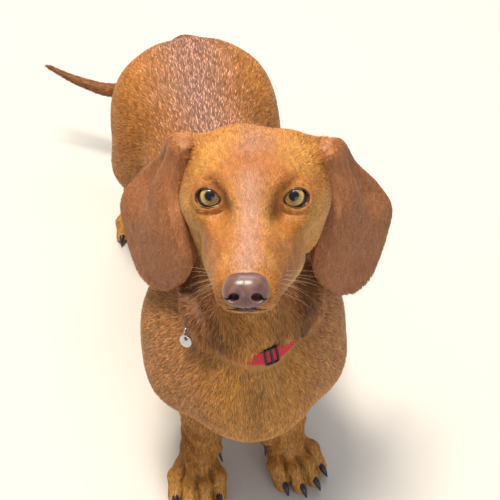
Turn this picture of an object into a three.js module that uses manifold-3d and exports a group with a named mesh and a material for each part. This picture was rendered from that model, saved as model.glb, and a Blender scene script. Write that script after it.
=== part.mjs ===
// A smooth-coated dachshund, life size, standing square with its head raised towards a taller person.
// Lengths are in millimetres. +Z is up, the nose points along -Y and the dog's left side is +X.
//
// The flesh is one field: a function that is negative inside the dog and zero on its skin, made of
// lumps of muscle and bone that melt into each other. Each named piece is that field turned into
// triangles on a grid fine enough for it, and parted from its neighbours by thin cuts.

import * as THREE from "three";
import { mergeVertices } from "three/addons/utils/BufferGeometryUtils.js";
import Module from "manifold-3d";

const wasm = await Module();
wasm.setup();

// Driving dimensions
const GAP = 0.3; // left between pieces that touch
const BACK_Z = 213; // top of the back
const BRISKET_Z = 79.5; // underside of the chest, above the floor
const CHEST_HALF = 67; // half the width of the rib cage
const FORECHEST_Y = -88; // front of the breastbone
const RUMP_Y = 330; // back of the buttocks
const LOIN_HALF = 52;
const EYES = [3, -45, 340]; // point midway between the eyes
const HEAD_YAW = -11.8; // degrees about +Z, towards the dog's right
const HEAD_PITCH = -26; // degrees about +X, which lifts the nose
const HEAD_ROLL = -2.4; // degrees about the head's own front-to-back line
const EYE_APART = 29; // from the head's middle to each eye's centre
const EYE_RADIUS = 10.5;
const WRIST_X = 34;
const HOCK_X = 52;
const SHOULDER_SHIFT = 2.5; // the shoulders stand a little to the left of the middle
const RUMP_SHIFT = -4; // and the rump to the right
const CENTRE = [-5, 128]; // middle of the whole dog on the floor, which becomes the origin

const radians = THREE.MathUtils.degToRad;
const V = (x, y, z) => new THREE.Vector3(x, y, z);

// Lumps of flesh. Each has at(x, y, z), its distance, and blend, the width over which it melts into the rest.

function ellipsoid([cx, cy, cz], [rx, ry, rz], blend, turn = [0, 0, 0]) {
  const euler = new THREE.Euler(...turn.map(radians));
  const axes = new THREE.Matrix4().makeRotationFromEuler(euler).elements;
  const middle = -Math.min(rx, ry, rz);
  return {
    blend,
    at(x, y, z) {
      const dx = x - cx;
      const dy = y - cy;
      const dz = z - cz;
      const u = (dx * axes[0] + dy * axes[1] + dz * axes[2]) / rx;
      const v = (dx * axes[4] + dy * axes[5] + dz * axes[6]) / ry;
      const w = (dx * axes[8] + dy * axes[9] + dz * axes[10]) / rz;
      const k = Math.sqrt(u * u + v * v + w * w);
      if (k < 1e-6) return middle;
      return (k * (k - 1)) / Math.hypot(u / rx, v / ry, w / rz);
    },
  };
}

// A cone with round ends, from a to b.
function limb(a, b, radiusA, radiusB, blend) {
  const [bx, by, bz] = b.map((value, i) => value - a[i]);
  const length2 = bx * bx + by * by + bz * bz;
  const taper = radiusA - radiusB;
  const side2 = length2 - taper * taper;
  return {
    blend,
    at(x, y, z) {
      const px = x - a[0];
      const py = y - a[1];
      const pz = z - a[2];
      const along = px * bx + py * by + pz * bz;
      const past = along - length2;
      const qx = px * length2 - bx * along;
      const qy = py * length2 - by * along;
      const qz = pz * length2 - bz * along;
      const across2 = qx * qx + qy * qy + qz * qz;
      const along2 = along * along * length2;
      const past2 = past * past * length2;
      const k = Math.sign(taper) * taper * taper * across2;
      if (Math.sign(past) * side2 * past2 > k) return Math.sqrt(across2 + past2) / length2 - radiusB;
      if (Math.sign(along) * side2 * along2 < k) return Math.sqrt(across2 + along2) / length2 - radiusA;
      return (Math.sqrt((across2 * side2) / length2) + along * taper) / length2 - radiusA;
    },
  };
}

function melt(a, b, width) {
  const h = Math.max(width - Math.abs(a - b), 0);
  return Math.min(a, b) - (h * h) / (4 * width);
}

const FAR = 1000; // farther than any skin

function fuse(lumps) {
  return (x, y, z) => lumps.reduce((d, lump) => melt(d, lump.at(x, y, z), lump.blend), FAR);
}

// Takes each hollow out of a field, with a soft edge as wide as the hollow's blend.
function hollowed(field, hollows) {
  const cut = (x, y, z) => (d, hollow) => -melt(-d, hollow.at(x, y, z), hollow.blend);
  return (x, y, z) => hollows.reduce(cut(x, y, z), field(x, y, z));
}

// Trunk and legs, the same on both sides of x = 0

const chestZ = (BACK_Z + BRISKET_Z) / 2;
const chestDepth = (BACK_Z - BRISKET_Z) / 2;
const trunk = fuse([
  ellipsoid([0, 66, chestZ], [CHEST_HALF, 152, chestDepth], 10),
  ellipsoid([0, 40, BRISKET_Z + 38], [34, 110, 37], 20),
  ellipsoid([0, FORECHEST_Y + 48, 140], [54, 46, 46], 24),
  ellipsoid([0, 48, 190], [34, 86, 25], 22),
  ellipsoid([0, 200, 160], [LOIN_HALF, 110, 50], 26),
  ellipsoid([0, RUMP_Y - 68, 160], [60, 62, 50], 24),
  ellipsoid([22, RUMP_Y - 64, 150], [42, 60, 50], 24),
]);

const foreLimb = fuse([
  ellipsoid([53, -8, 152], [28, 46, 52], 14, [-22, 0, -12]),
  limb([47, -22, 134], [46, 18, 104], 26, 24, 18),
  limb([44, 20, 98], [WRIST_X + 1, 2, 62], 22, 19, 14),
  limb([WRIST_X + 1, 2, 62], [WRIST_X, -6, 40], 19, 17.5, 8),
]);

const hindLimb = fuse([
  ellipsoid([45, 260, 134], [29, 55, 52], 14, [14, 0, 0]),
  ellipsoid([50, 240, 122], [22, 32, 34], 14),
  limb([54, 244, 108], [HOCK_X + 1, 300, 68], 22, 12.5, 16),
  limb([HOCK_X + 1, 303, 64], [HOCK_X + 2, 288, 26], 12.5, 12, 8),
]);

// Paws in their own frame: toes towards -Y, ankle above the origin, floor at z = 0

const TOE_X = [-17.5, -6.3, 6.3, 17.5];
const MIDDLE_TOE = 37; // how far the two middle toes reach
const OUTER_TOE = 28;
const DEWCLAW = [-17, 2, 30]; // on the inner side of a front paw

function pawLumps({ size, ankle, side, front }) {
  const scaled = (point) => point.map((value) => value * size);
  const lumps = [
    limb(ankle, scaled([0, -8, 17]), 15.5 * size, 16 * size, 12),
    ellipsoid(scaled([0, -8, 9]), scaled([17, 15, 10]), 8),
  ];
  for (const x of TOE_X) {
    const reach = Math.abs(x) > 10 ? OUTER_TOE : MIDDLE_TOE;
    const knuckle = scaled([x * 0.95, 12 - reach, 16]);
    lumps.push(limb(scaled([x * 0.62, -6, 18]), knuckle, 8 * size, 7.6 * size, 4));
    lumps.push(limb(knuckle, scaled([x * 1.03, -reach, 5.6]), 7.6 * size, 6.8 * size, 3));
  }
  if (front) {
    const [x, y, z] = DEWCLAW;
    lumps.push(limb([side * x * 0.7, y + 4, z + 6], [side * x, y, z], 6, 4.6, 5));
  }
  return lumps;
}

// Where each paw stands: its place on the floor as on the left side, degrees turned out, and the leg's ankle
const FRONT_ANKLE = [WRIST_X, -6, 44];
const HIND_ANKLE = [HOCK_X + 2, 288, 30];
const PAWS = [
  { name: "forepaw_left", side: 1, at: [34, -18], out: 22, size: 1, ankle: FRONT_ANKLE, front: true },
  { name: "forepaw_right", side: -1, at: [41, -24], out: 7, size: 1, ankle: FRONT_ANKLE, front: true },
  { name: "hindpaw_left", side: 1, at: [56, 278], out: 6, size: 0.86, ankle: HIND_ANKLE, front: false },
  { name: "hindpaw_right", side: -1, at: [56, 278], out: 6, size: 0.86, ankle: HIND_ANKLE, front: false },
];
const FRONT_PAW_TOP = 42; // height of the cut above each paw
const HIND_PAW_TOP = 30;

for (const paw of PAWS) {
  const lean = paw.front ? 0 : RUMP_SHIFT;
  paw.group = new THREE.Group();
  paw.group.position.set(paw.side * paw.at[0] + lean, paw.at[1], 0);
  paw.group.rotation.z = radians(paw.side * paw.out);
  paw.group.updateMatrix();
  const [x, y, z] = paw.ankle;
  const ankle = V(paw.side * x + lean, y, z).applyMatrix4(paw.group.matrix.clone().invert());
  paw.field = fuse(pawLumps({ ...paw, ankle: ankle.toArray() }));
}

// Neck: from the shoulders up to the skull, then the loose skin that folds over the collar at the throat

const neck = fuse([
  limb([4, 8, 186], [5, 12, 284], 62, 41, 30),
  limb([0, -38, 168], [3, -8, 262], 36, 30, 26),
  limb([0, 50, 196], [6, 36, 296], 30, 30, 26),
]);

const folds = fuse([
  limb([24, -32, 246], [19, -53, 214], 12, 12, 12),
  limb([-8, -59, 213], [-26, -48, 222], 15, 15, 12),
  limb([-26, -48, 222], [-35, -38, 228], 15, 12, 12),
  limb([-35, -38, 228], [-41, -27, 234], 12, 9, 12),
  limb([32, -48, 215], [42, -35, 219], 14, 15, 12),
  limb([42, -35, 219], [49, -22, 225], 15, 12, 12),
]);

// Head in its own frame: origin between the eyes, forehead up, nose towards -Y

const headGroup = new THREE.Group();
headGroup.position.set(...EYES);
headGroup.rotation.set(radians(HEAD_PITCH), radians(HEAD_ROLL), radians(HEAD_YAW), "ZXY");
headGroup.updateMatrix();

const NOSE_Y = -94; // middle of the nose leather
const NOSE_Z = -28.5;
const CROWN_Z = 36;
const LID = 2.4; // thickness of the skin over the eyeball
const EYE_Y = 2;
const EYE_Z = 3.5;

const skull = fuse([
  ellipsoid([0, 50, -2], [46, 52, CROWN_Z + 1], 10),
  ellipsoid([25, 50, 6], [25, 40, 27], 14),
  ellipsoid([0, 14, 4], [38, 42, 26], 16),
  ellipsoid([34, 24, -10], [17, 32, 15], 16, [0, 0, -12]),
  ellipsoid([31, 44, -26], [18, 28, 28], 14),
  limb([0, -4, -8], [0, -82, -26], 21, 12.5, 12),
  limb([10, -6, -28], [7, -80, -32.5], 24, 12.5, 14),
  limb([17, 2, -42], [8, -77, -35.5], 19, 10.5, 10),
  limb([0, 34, -46], [0, -73, -40], 24, 7.5, 12),
  ellipsoid([18, 3, 12], [12, 13, 9], 10),
]);
// The hollow at the inner corner of each eye, and the lids' bulge over the eyeball
const tearHollow = ellipsoid([22, -25, 0], [7.5, 18, 9.5], 8);
const lidBulge = ellipsoid([EYE_APART, EYE_Y, EYE_Z], new Array(3).fill(EYE_RADIUS + LID), 5);

const nose = fuse([
  ellipsoid([0, NOSE_Y + 2, NOSE_Z + 2.2], [11.5, 11, 10.2], 4),
  ellipsoid([5, NOSE_Y + 2, NOSE_Z + 1.4], [8.2, 10.5, 9], 5),
  ellipsoid([7, NOSE_Y - 1.5, NOSE_Z - 3], [7.4, 8.5, 7], 5),
  ellipsoid([0, NOSE_Y, NOSE_Z - 8], [6, 7.5, 5.5], 4),
]);

const nostrils = [
  ellipsoid([7.2, NOSE_Y - 11, NOSE_Z - 4], [3.2, 9, 2.8], 1.5, [0, 20, 20]),
  ellipsoid([12.5, NOSE_Y - 4, NOSE_Z - 4.5], [3.2, 5, 1], 1.2, [0, 20, 35]),
];
const hollowSkull = hollowed(skull, [tearHollow]);
const head = (x, y, z) => {
  const side = Math.abs(x);
  return melt(hollowSkull(side, y, z), lidBulge.at(side, y, z), lidBulge.blend);
};
const hollowNose = hollowed(nose, nostrils);

// Tail: back from the croup, then swung to the dog's right

const TAIL_ROOT_RADIUS = 15;
const TAIL_TIP_RADIUS = 1.8;
const TAIL_STEPS = 16;
const tailLine = new THREE.CatmullRomCurve3([
  V(0, 296, 176),
  V(-3, 328, 168),
  V(-16, 350, 138),
  V(-40, 362, 106),
  V(-68, 372, 88),
  V(-102, 390, 88),
  V(-132, 406, 98),
]);
const tailRadius = (share) => THREE.MathUtils.lerp(TAIL_ROOT_RADIUS, TAIL_TIP_RADIUS, share ** 1.35);
const tailLumps = [];
for (let i = 0; i < TAIL_STEPS; i++) {
  const [from, to] = [i / TAIL_STEPS, (i + 1) / TAIL_STEPS];
  const ends = [from, to].map((share) => tailLine.getPointAt(share).toArray());
  tailLumps.push(limb(...ends, tailRadius(from), tailRadius(to), 4));
}
const tail = fuse(tailLumps);

// The whole dog's flesh, in the dog's frame

// A field given in a group's frame, read in the dog's frame.
function placed(field, group) {
  const inverse = group.matrix.clone().invert();
  const p = V(0, 0, 0);
  return (x, y, z) => field(...p.set(x, y, z).applyMatrix4(inverse).toArray());
}

const PAW_REACH = 70; // above this height no paw has any say
const placedHead = placed(head, headGroup);
const placedPaws = PAWS.map((paw) => placed(paw.field, paw.group));

// The spine curves a little: its middle line at each y.
function spineX(y) {
  return THREE.MathUtils.lerp(SHOULDER_SHIFT, RUMP_SHIFT, THREE.MathUtils.smoothstep(y, 20, 280));
}

function bareFlesh(x, y, z) {
  const side = Math.abs(x - spineX(y));
  let d = trunk(side, y, z);
  d = melt(d, foreLimb(side, y, z), 16);
  d = melt(d, hindLimb(side, y, z), 20);
  d = melt(d, neck(x, y, z), 30);
  d = melt(d, tail(x, y, z), 14);
  d = melt(d, placedHead(x, y, z), 18);
  if (z < PAW_REACH) for (const paw of placedPaws) d = melt(d, paw(x, y, z), 6);
  return d;
}

const flesh = (x, y, z) => melt(bareFlesh(x, y, z), folds(x, y, z), 12);

// The dog's flesh, read in a group's frame.
function fleshIn(group) {
  const p = V(0, 0, 0);
  return (x, y, z) => flesh(...p.set(x, y, z).applyMatrix4(group.matrix).toArray());
}

// From a field to triangles: one vertex for each sheet of skin in a grid cell, then slid onto the skin

const SLIDES = 4;
const TILT = 0.5; // half the distance over which the field's slope is read

function slope(field, { x, y, z }) {
  return V(
    field(x + TILT, y, z) - field(x - TILT, y, z),
    field(x, y + TILT, z) - field(x, y - TILT, z),
    field(x, y, z + TILT) - field(x, y, z - TILT),
  ).divideScalar(2 * TILT);
}

function ontoSkin(field, p, most) {
  const n = slope(field, p);
  const step = -field(p.x, p.y, p.z) / Math.max(n.lengthSq(), 0.1);
  p.addScaledVector(n, THREE.MathUtils.clamp(step, -most, most));
}

// Grid lines from the first stop to the last; each stop is [place, spacing there].
function graded(...stops) {
  const lines = [stops[0][0]];
  for (let i = 1; i < stops.length; ) {
    const at = lines[lines.length - 1];
    const [from, wide] = stops[i - 1];
    const [to, next] = stops[i];
    const share = Math.max(at - from, 0) / (to - from);
    lines.push(at + THREE.MathUtils.lerp(wide, next, share));
    if (lines[lines.length - 1] >= to) i += 1;
  }
  return lines;
}

const mirrored = (lines) => lines.map((x) => -x).reverse();
const bothSides = (lines) => [...mirrored(lines), ...lines];
const even = (from, to, step) => graded([from, step], [to, step]);

function skinOf(field, [xs, ys, zs]) {
  const sizes = [xs.length, ys.length, zs.length];
  const index = (i, j, k) => (i * sizes[1] + j) * sizes[2] + k;
  const values = new Float32Array(sizes[0] * sizes[1] * sizes[2]).fill(1);
  for (let i = 1; i < sizes[0] - 1; i++)
    for (let j = 1; j < sizes[1] - 1; j++)
      for (let k = 1; k < sizes[2] - 1; k++) values[index(i, j, k)] = field(xs[i], ys[j], zs[k]);

  const corners = [0, 1, 2, 3, 4, 5, 6, 7];
  const place = (c, i, j, k) => V(xs[i + (c & 1)], ys[j + ((c >> 1) & 1)], zs[k + (c >> 2)]);
  const vertexAt = new Int32Array(values.length * corners.length);
  const points = [];
  const held = [];
  for (let i = 0; i < sizes[0] - 1; i++)
    for (let j = 0; j < sizes[1] - 1; j++)
      for (let k = 0; k < sizes[2] - 1; k++) {
        const cell = index(i, j, k);
        const around = corners.map((c) => values[index(i + (c & 1), j + ((c >> 1) & 1), k + (c >> 2))]);
        const waiting = new Set(corners.filter((c) => around[c] < 0));
        while (waiting.size && waiting.size < corners.length) {
          const middle = V(0, 0, 0);
          let crossings = 0;
          const sheet = [waiting.values().next().value];
          waiting.delete(sheet[0]);
          for (const a of sheet)
            for (const b of [a ^ 1, a ^ 2, a ^ 4]) {
              if (waiting.delete(b)) sheet.push(b);
              if (around[b] < 0) continue;
              const t = around[a] / (around[a] - around[b]);
              middle.add(place(a, i, j, k).lerp(place(b, i, j, k), t));
              crossings += 1;
            }
          if (!crossings) break;
          for (const a of sheet) vertexAt[cell * corners.length + a] = points.length;
          points.push(middle.divideScalar(crossings));
          held.push([i, j, k].some((n, axis) => n === 0 || n === sizes[axis] - 2));
        }
      }

  const quads = [];
  const steps = [index(1, 0, 0), index(0, 1, 0), index(0, 0, 1)];
  for (let i = 1; i < sizes[0] - 1; i++)
    for (let j = 1; j < sizes[1] - 1; j++)
      for (let k = 1; k < sizes[2] - 1; k++) {
        const here = index(i, j, k);
        if (values[here] >= 0) continue;
        for (const [axis, step] of steps.entries())
          for (const way of [1, -1]) {
            if (values[here + way * step] < 0) continue;
            const [u, v] = [(axis + 1) % 3, (axis + 2) % 3];
            const low = way > 0 ? here : here - step;
            const corner = way > 0 ? 0 : 1 << axis;
            const ring = [[0, 0], [1, 0], [1, 1], [0, 1]].map(([a, b]) => {
              const cell = low - a * steps[u] - b * steps[v];
              return vertexAt[cell * corners.length + (corner | (a << u) | (b << v))];
            });
            quads.push(way > 0 ? ring : ring.reverse());
          }
      }

  // Sliding: each vertex moves towards the middle of its neighbours and then back to the skin.
  const near = points.map(() => []);
  for (const quad of quads) quad.forEach((a, n) => near[a].push(quad[(n + 1) % 4]));
  const most = Math.max(xs[2] - xs[1], ys[2] - ys[1], zs[2] - zs[1]);
  for (let round = 0; round < SLIDES; round++) {
    const centres = near.map((list) =>
      list.reduce((sum, n) => sum.add(points[n]), V(0, 0, 0)).divideScalar(list.length),
    );
    points.forEach((p, n) => {
      if (held[n]) return;
      ontoSkin(field, p.lerp(centres[n], 0.5), most);
      ontoSkin(field, p, most);
    });
  }

  // Each quad is split along its shorter diagonal.
  const triangles = quads.flatMap(([a, b, c, d]) =>
    points[a].distanceToSquared(points[c]) < points[b].distanceToSquared(points[d])
      ? [a, b, c, a, c, d]
      : [a, b, d, b, c, d],
  );
  return surface(points, triangles);
}

// Closed surfaces from rings of points

function surface(points, triangles) {
  const geometry = new THREE.BufferGeometry();
  geometry.setAttribute("position", new THREE.Float32BufferAttribute(points.flatMap((p) => p.toArray()), 3));
  geometry.setIndex(triangles);
  return geometry;
}

// Rings with as many points each, joined in order; the ends are closed, or the last ring joins the first.
function loft(rings, looped = false) {
  const around = rings[0].length;
  const triangles = [];
  const quad = (a, b, c, d) => triangles.push(a, b, c, a, c, d);
  for (let r = 0; r < rings.length - (looped ? 0 : 1); r++)
    for (let i = 0; i < around; i++) {
      const [here, next] = [r * around, ((r + 1) % rings.length) * around];
      const j = (i + 1) % around;
      quad(here + i, here + j, next + j, next + i);
    }
  const last = (rings.length - 1) * around;
  for (let i = 0; i < around / 2 - 1 && !looped; i++) {
    const [j, k, l] = [i + 1, around - 2 - i, around - 1 - i];
    quad(l, k, j, i);
    quad(last + i, last + j, last + k, last + l);
  }
  return surface(rings.flat(), triangles);
}

function tube(curve, steps, radius, sides, looped = false) {
  const { normals, binormals } = curve.computeFrenetFrames(steps, looped);
  const rings = [];
  for (let i = 0; i < steps + (looped ? 0 : 1); i++) {
    const ring = [];
    for (let n = 0; n < sides; n++) {
      const angle = (2 * Math.PI * n) / sides;
      const p = curve.getPointAt(i / steps);
      p.addScaledVector(normals[i], radius(i / steps) * Math.cos(angle));
      p.addScaledVector(binormals[i], radius(i / steps) * Math.sin(angle));
      ring.push(p);
    }
    rings.push(ring);
  }
  return loft(rings, looped);
}

// Where a ray that starts inside a field comes out of it.
function leaves(field, from, direction, reach) {
  let [near, far] = [0, reach];
  const at = (distance) => from.clone().addScaledVector(direction, distance);
  while (far - near > 0.05) {
    const half = (near + far) / 2;
    if (field(...at(half).toArray()) < 0) near = half;
    else far = half;
  }
  return at(near);
}

// Joining and cutting closed meshes

function solid(geometry, matrix) {
  const bare = geometry.clone();
  if (matrix) bare.applyMatrix4(matrix);
  for (const name of Object.keys(bare.attributes)) if (name !== "position") bare.deleteAttribute(name);
  const merged = mergeVertices(bare, 1e-3);
  const made = (triVerts) => {
    const mesh = { numProp: 3, vertProperties: merged.attributes.position.array, triVerts };
    return new wasm.Manifold(new wasm.Mesh(mesh));
  };
  const triVerts = new Uint32Array(merged.index.array);
  const first = made(triVerts);
  return first.volume() > 0 ? first : made(triVerts.reverse());
}

function geometryOf(manifold) {
  const pieces = manifold.decompose();
  const mesh = pieces.reduce((best, piece) => (piece.volume() > best.volume() ? piece : best)).getMesh();
  const geometry = new THREE.BufferGeometry();
  geometry.setAttribute("position", new THREE.BufferAttribute(new Float32Array(mesh.vertProperties), 3));
  geometry.setIndex(new THREE.BufferAttribute(new Uint32Array(mesh.triVerts), 1));
  geometry.computeVertexNormals();
  return geometry;
}

const FAR_OFF = 1500;

// The half of space past a plane, on the side that the normal points to, half a gap away from it.
function beyond(point, normal) {
  const box = new THREE.BoxGeometry(FAR_OFF, FAR_OFF, FAR_OFF);
  box.translate(0, 0, (FAR_OFF + GAP) / 2);
  const turn = new THREE.Quaternion().setFromUnitVectors(V(0, 0, 1), V(...normal).normalize());
  box.applyQuaternion(turn);
  box.translate(...point);
  return solid(box);
}

const against = (normal) => normal.map((value) => -value);

// An outline in x and z, mirrored for the right side, drawn out along y.
function sideBlock(outline, side, from, to) {
  const shape = new THREE.Shape(outline.map(([x, z]) => new THREE.Vector2(side * x, z)));
  const block = new THREE.ExtrudeGeometry(shape, { depth: to - from, bevelEnabled: false });
  block.rotateX(Math.PI / 2);
  block.translate(0, to, 0);
  return solid(block);
}

function box([lowX, lowY, lowZ], [highX, highY, highZ]) {
  const block = new THREE.BoxGeometry(highX - lowX, highY - lowY, highZ - lowZ);
  block.translate((lowX + highX) / 2, (lowY + highY) / 2, (lowZ + highZ) / 2);
  return solid(block);
}

// Materials

const coat = (color) => new THREE.MeshStandardMaterial({ color, roughness: 0.62, metalness: 0 });
const redCoat = coat(0xb06a2c);
const paleCoat = coat(0xc48445);
const earCoat = coat(0x8f5130);
const noseLeather = new THREE.MeshStandardMaterial({ color: 0x6b4a45, roughness: 0.38, metalness: 0 });
const eyeGlass = new THREE.MeshStandardMaterial({ color: 0x7d6a2e, roughness: 0.08, metalness: 0 });
const clawHorn = new THREE.MeshStandardMaterial({ color: 0x2a2530, roughness: 0.35, metalness: 0 });
const redWebbing = new THREE.MeshStandardMaterial({ color: 0xc8303f, roughness: 0.75, metalness: 0 });
const blackPlastic = new THREE.MeshStandardMaterial({ color: 0x1e2420, roughness: 0.4, metalness: 0 });
const ringSteel = new THREE.MeshStandardMaterial({ color: 0xc9cbd0, roughness: 0.22, metalness: 1 });

const dog = new THREE.Group();
dog.add(headGroup);
for (const paw of PAWS) dog.add(paw.group);

function addNode(name, manifold, material, parent = dog) {
  const mesh = new THREE.Mesh(geometryOf(manifold), material);
  mesh.name = name;
  parent.add(mesh);
}

// Where the flesh parts: a point on each plane and its normal, which points away from the trunk

const NECK_CUT = { point: [0, 0, 181], normal: [0, -0.382, 0.924] };
const HEAD_CUT = { point: [0, 12, 279], normal: [0, -0.443, 0.896] };
const TAIL_CUT = 0.22; // share of the tail's line that stays on the croup
const TAIL_CUT_POINT = tailLine.getPointAt(TAIL_CUT).toArray();
const TAIL_CUT_NORMAL = tailLine.getTangentAt(TAIL_CUT).toArray();
const TAIL_BLOCK = [[-260, 320, 40], [60, 480, 240]]; // where the tail's cut holds

// Each leg's block: an outline in x and z, and its first and last y
const FORE_BLOCK = {
  outline: [[20, 10], [20, 74], [26, 80], [78, 122], [130, 122], [130, 10]],
  from: -64,
  to: 54,
};
const HIND_BLOCK = {
  outline: [[16, 10], [16, 100], [40, 112], [40, 180], [52, 190], [130, 190], [130, 10]],
  from: 200,
  to: 360,
};

function legBlock({ outline, from, to }, side, shrink) {
  const inner = outline.map(([x, z]) => [x + shrink, z - shrink]);
  return sideBlock(inner, side, from + shrink, to - shrink);
}

// Torso

const trunkSkin = solid(
  skinOf(flesh, [
    bothSides(graded([5.5, 11], [60, 11], [106, 13])),
    graded([-110, 11.5], [-20, 11.5], [60, 22], [240, 22], [345, 14], [404, 14]),
    graded([58, 17], [180, 16], [198, 10], [250, 10], [328, 15]),
  ]),
);
let torso = trunkSkin.intersect(beyond(NECK_CUT.point, against(NECK_CUT.normal)));
const tailSide = beyond(TAIL_CUT_POINT, TAIL_CUT_NORMAL).intersect(box(...TAIL_BLOCK));
const beyondTailCut = beyond(TAIL_CUT_POINT, against(TAIL_CUT_NORMAL));
torso = torso.subtract(box(...TAIL_BLOCK).subtract(beyondTailCut));
for (const side of [1, -1]) {
  torso = torso.subtract(legBlock(FORE_BLOCK, side, 0));
  torso = torso.subtract(legBlock(HIND_BLOCK, side, 0));
}
addNode("torso", torso, redCoat);

// Legs and paws

for (const [sideName, side] of [["left", 1], ["right", -1]]) {
  const toSide = (lines) => (side > 0 ? lines : mirrored(lines));
  const foreGrid = [toSide(even(8, 108, 9)), even(-80, 74, 10), even(32, 140, 10)];
  const fore = solid(skinOf(flesh, foreGrid));
  const foreLeg = fore
    .intersect(legBlock(FORE_BLOCK, side, GAP))
    .intersect(beyond([0, 0, FRONT_PAW_TOP], [0, 0, 1]));
  addNode("foreleg_" + sideName, foreLeg, redCoat);

  const hindGrid = [toSide(even(6, 102, 9)), even(190, 356, 11), graded([20, 9], [90, 10], [206, 15])];
  const hind = solid(skinOf(flesh, hindGrid));
  const hindLeg = hind
    .intersect(legBlock(HIND_BLOCK, side, GAP))
    .intersect(beyond([0, 0, HIND_PAW_TOP], [0, 0, 1]));
  addNode("hindleg_" + sideName, hindLeg, redCoat);
}

for (const paw of PAWS) {
  const reach = 56 * paw.size;
  const top = paw.front ? FRONT_PAW_TOP : HIND_PAW_TOP;
  const grid = [
    even(-34 * paw.size, 35 * paw.size, 5.7),
    graded([-reach, 6.1], [0, 8], [34 * paw.size, 10]),
    graded([-8, 5.7], [20, 6.8], [top + 14, 10]),
  ];
  paw.solid = solid(skinOf(fleshIn(paw.group), grid)).intersect(box([-60, -90, 0], [60, 90, top - GAP / 2]));
}

// Claws: curved cones that start inside the toe

const CLAW_LENGTH = 15.5;
const CLAW_RADIUS = 3;
const CLAW_TIP_Z = 1.4;
const DEWCLAW_RADIUS = 2;
const CLAW_STEPS = 3;
const CLAW_SIDES = 5;

function claw([x, y, z], [tipX, tipY, tipZ], width, grow) {
  const line = new THREE.QuadraticBezierCurve3(
    V(x, y, z),
    V(x * 0.6 + tipX * 0.4, y * 0.3 + tipY * 0.7, z * 0.8 + tipZ * 0.2 + 1.5),
    V(tipX, tipY, tipZ),
  );
  return solid(tube(line, CLAW_STEPS, (share) => width * (1 - 0.86 * share ** 1.6) + grow, CLAW_SIDES));
}

for (const paw of PAWS) {
  const { size, side } = paw;
  const claws = TOE_X.map((x) => {
    const reach = (Math.abs(x) > 10 ? OUTER_TOE : MIDDLE_TOE) * size;
    const root = [x * 1.03 * size, -reach - 1, 8.5 * size];
    const tip = [x * 1.12 * size, -reach - CLAW_LENGTH * size, CLAW_TIP_Z];
    return [root, tip, CLAW_RADIUS * size];
  });
  if (paw.front) {
    const [x, y, z] = DEWCLAW;
    claws.push([[side * x * 1.05, y - 1, z - 1], [side * x * 1.28, y - 8, z - 10], DEWCLAW_RADIUS]);
  }
  claws.forEach(([from, to, width], n) => {
    paw.solid = paw.solid.subtract(claw(from, to, width, GAP));
    const name = n < TOE_X.length ? "claw_" + paw.name + "_" + (n + 1) : "dewclaw_" + paw.name.slice(8);
    addNode(name, claw(from, to, width, 0), clawHorn, paw.group);
  });
  addNode(paw.name, paw.solid, paleCoat, paw.group);
}

// Tail

const tailSolid = solid(tube(tailLine, 16, tailRadius, 10));
addNode("tail", tailSolid.intersect(tailSide), redCoat);

// Eyes, lids and sockets, in the head's frame

const LID_STEPS = 22;
const LID_RIM = 1.3;
const OPENING_WIDE = 47; // degrees from the middle of the opening to its corner
const OPENING_HIGH = 41;
const OPENING_OUT = 15; // degrees that the opening faces outward
const OPENING_UP = 12;
const GAZE_UP = 21; // degrees that the eye looks up from the muzzle's line
const CORNEA = 0.9; // how far the cornea stands out of the eyeball
const CORNEA_EDGE = 34;

function lidPoints(side, distance) {
  const turn = new THREE.Euler(radians(-OPENING_UP), 0, radians(side * OPENING_OUT), "ZXY");
  const points = [];
  for (let i = 0; i < LID_STEPS; i++) {
    const angle = (2 * Math.PI * i) / LID_STEPS;
    const inward = Math.max(Math.cos(angle), 0) ** 3;
    const across = radians(OPENING_WIDE + 7 * inward) * Math.cos(angle);
    const up = radians(OPENING_HIGH * Math.sin(angle) - 9 * inward);
    const direction = V(-side * Math.sin(across), -Math.cos(across) * Math.cos(up), Math.sin(up));
    direction.normalize().applyEuler(turn);
    points.push(direction.multiplyScalar(distance).add(V(side * EYE_APART, EYE_Y, EYE_Z)));
  }
  return points;
}

function eyeball(side, grow) {
  const profile = [];
  const steps = 9;
  for (let i = 0; i <= steps; i++) {
    const angle = Math.PI * (i / steps) ** 1.15;
    const bulge = CORNEA * THREE.MathUtils.smoothstep(radians(CORNEA_EDGE) - angle, 0, radians(14));
    const radius = EYE_RADIUS + bulge + grow;
    profile.push(new THREE.Vector2(radius * Math.sin(angle), radius * Math.cos(angle)));
  }
  profile[0].x = 0;
  profile[steps].x = 0;
  const ball = new THREE.LatheGeometry(profile, 16);
  ball.rotateX(radians(180 - GAZE_UP));
  return solid(ball.translate(side * EYE_APART, EYE_Y, EYE_Z));
}

// Head and nose

const headGrid = [
  bothSides(graded([3.2, 6.4], [40, 7], [66, 11])),
  graded([-110, 6.4], [-84, 7], [-60, 12], [-20, 7], [14, 7.6], [40, 14], [134, 16]),
  graded([-106, 14], [-52, 8], [-40, 6.2], [-14, 6.4], [16, 7], [24, 10], [52, 11]),
];
const headToDog = headGroup.matrix.clone();
const dogToHead = headToDog.clone().invert();
const turnedToHead = (vector) => V(...vector).transformDirection(dogToHead).toArray();
const placedInHead = (point) => V(...point).applyMatrix4(dogToHead).toArray();
const headCutPoint = placedInHead(HEAD_CUT.point);
const headCutNormal = turnedToHead(HEAD_CUT.normal);

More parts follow.
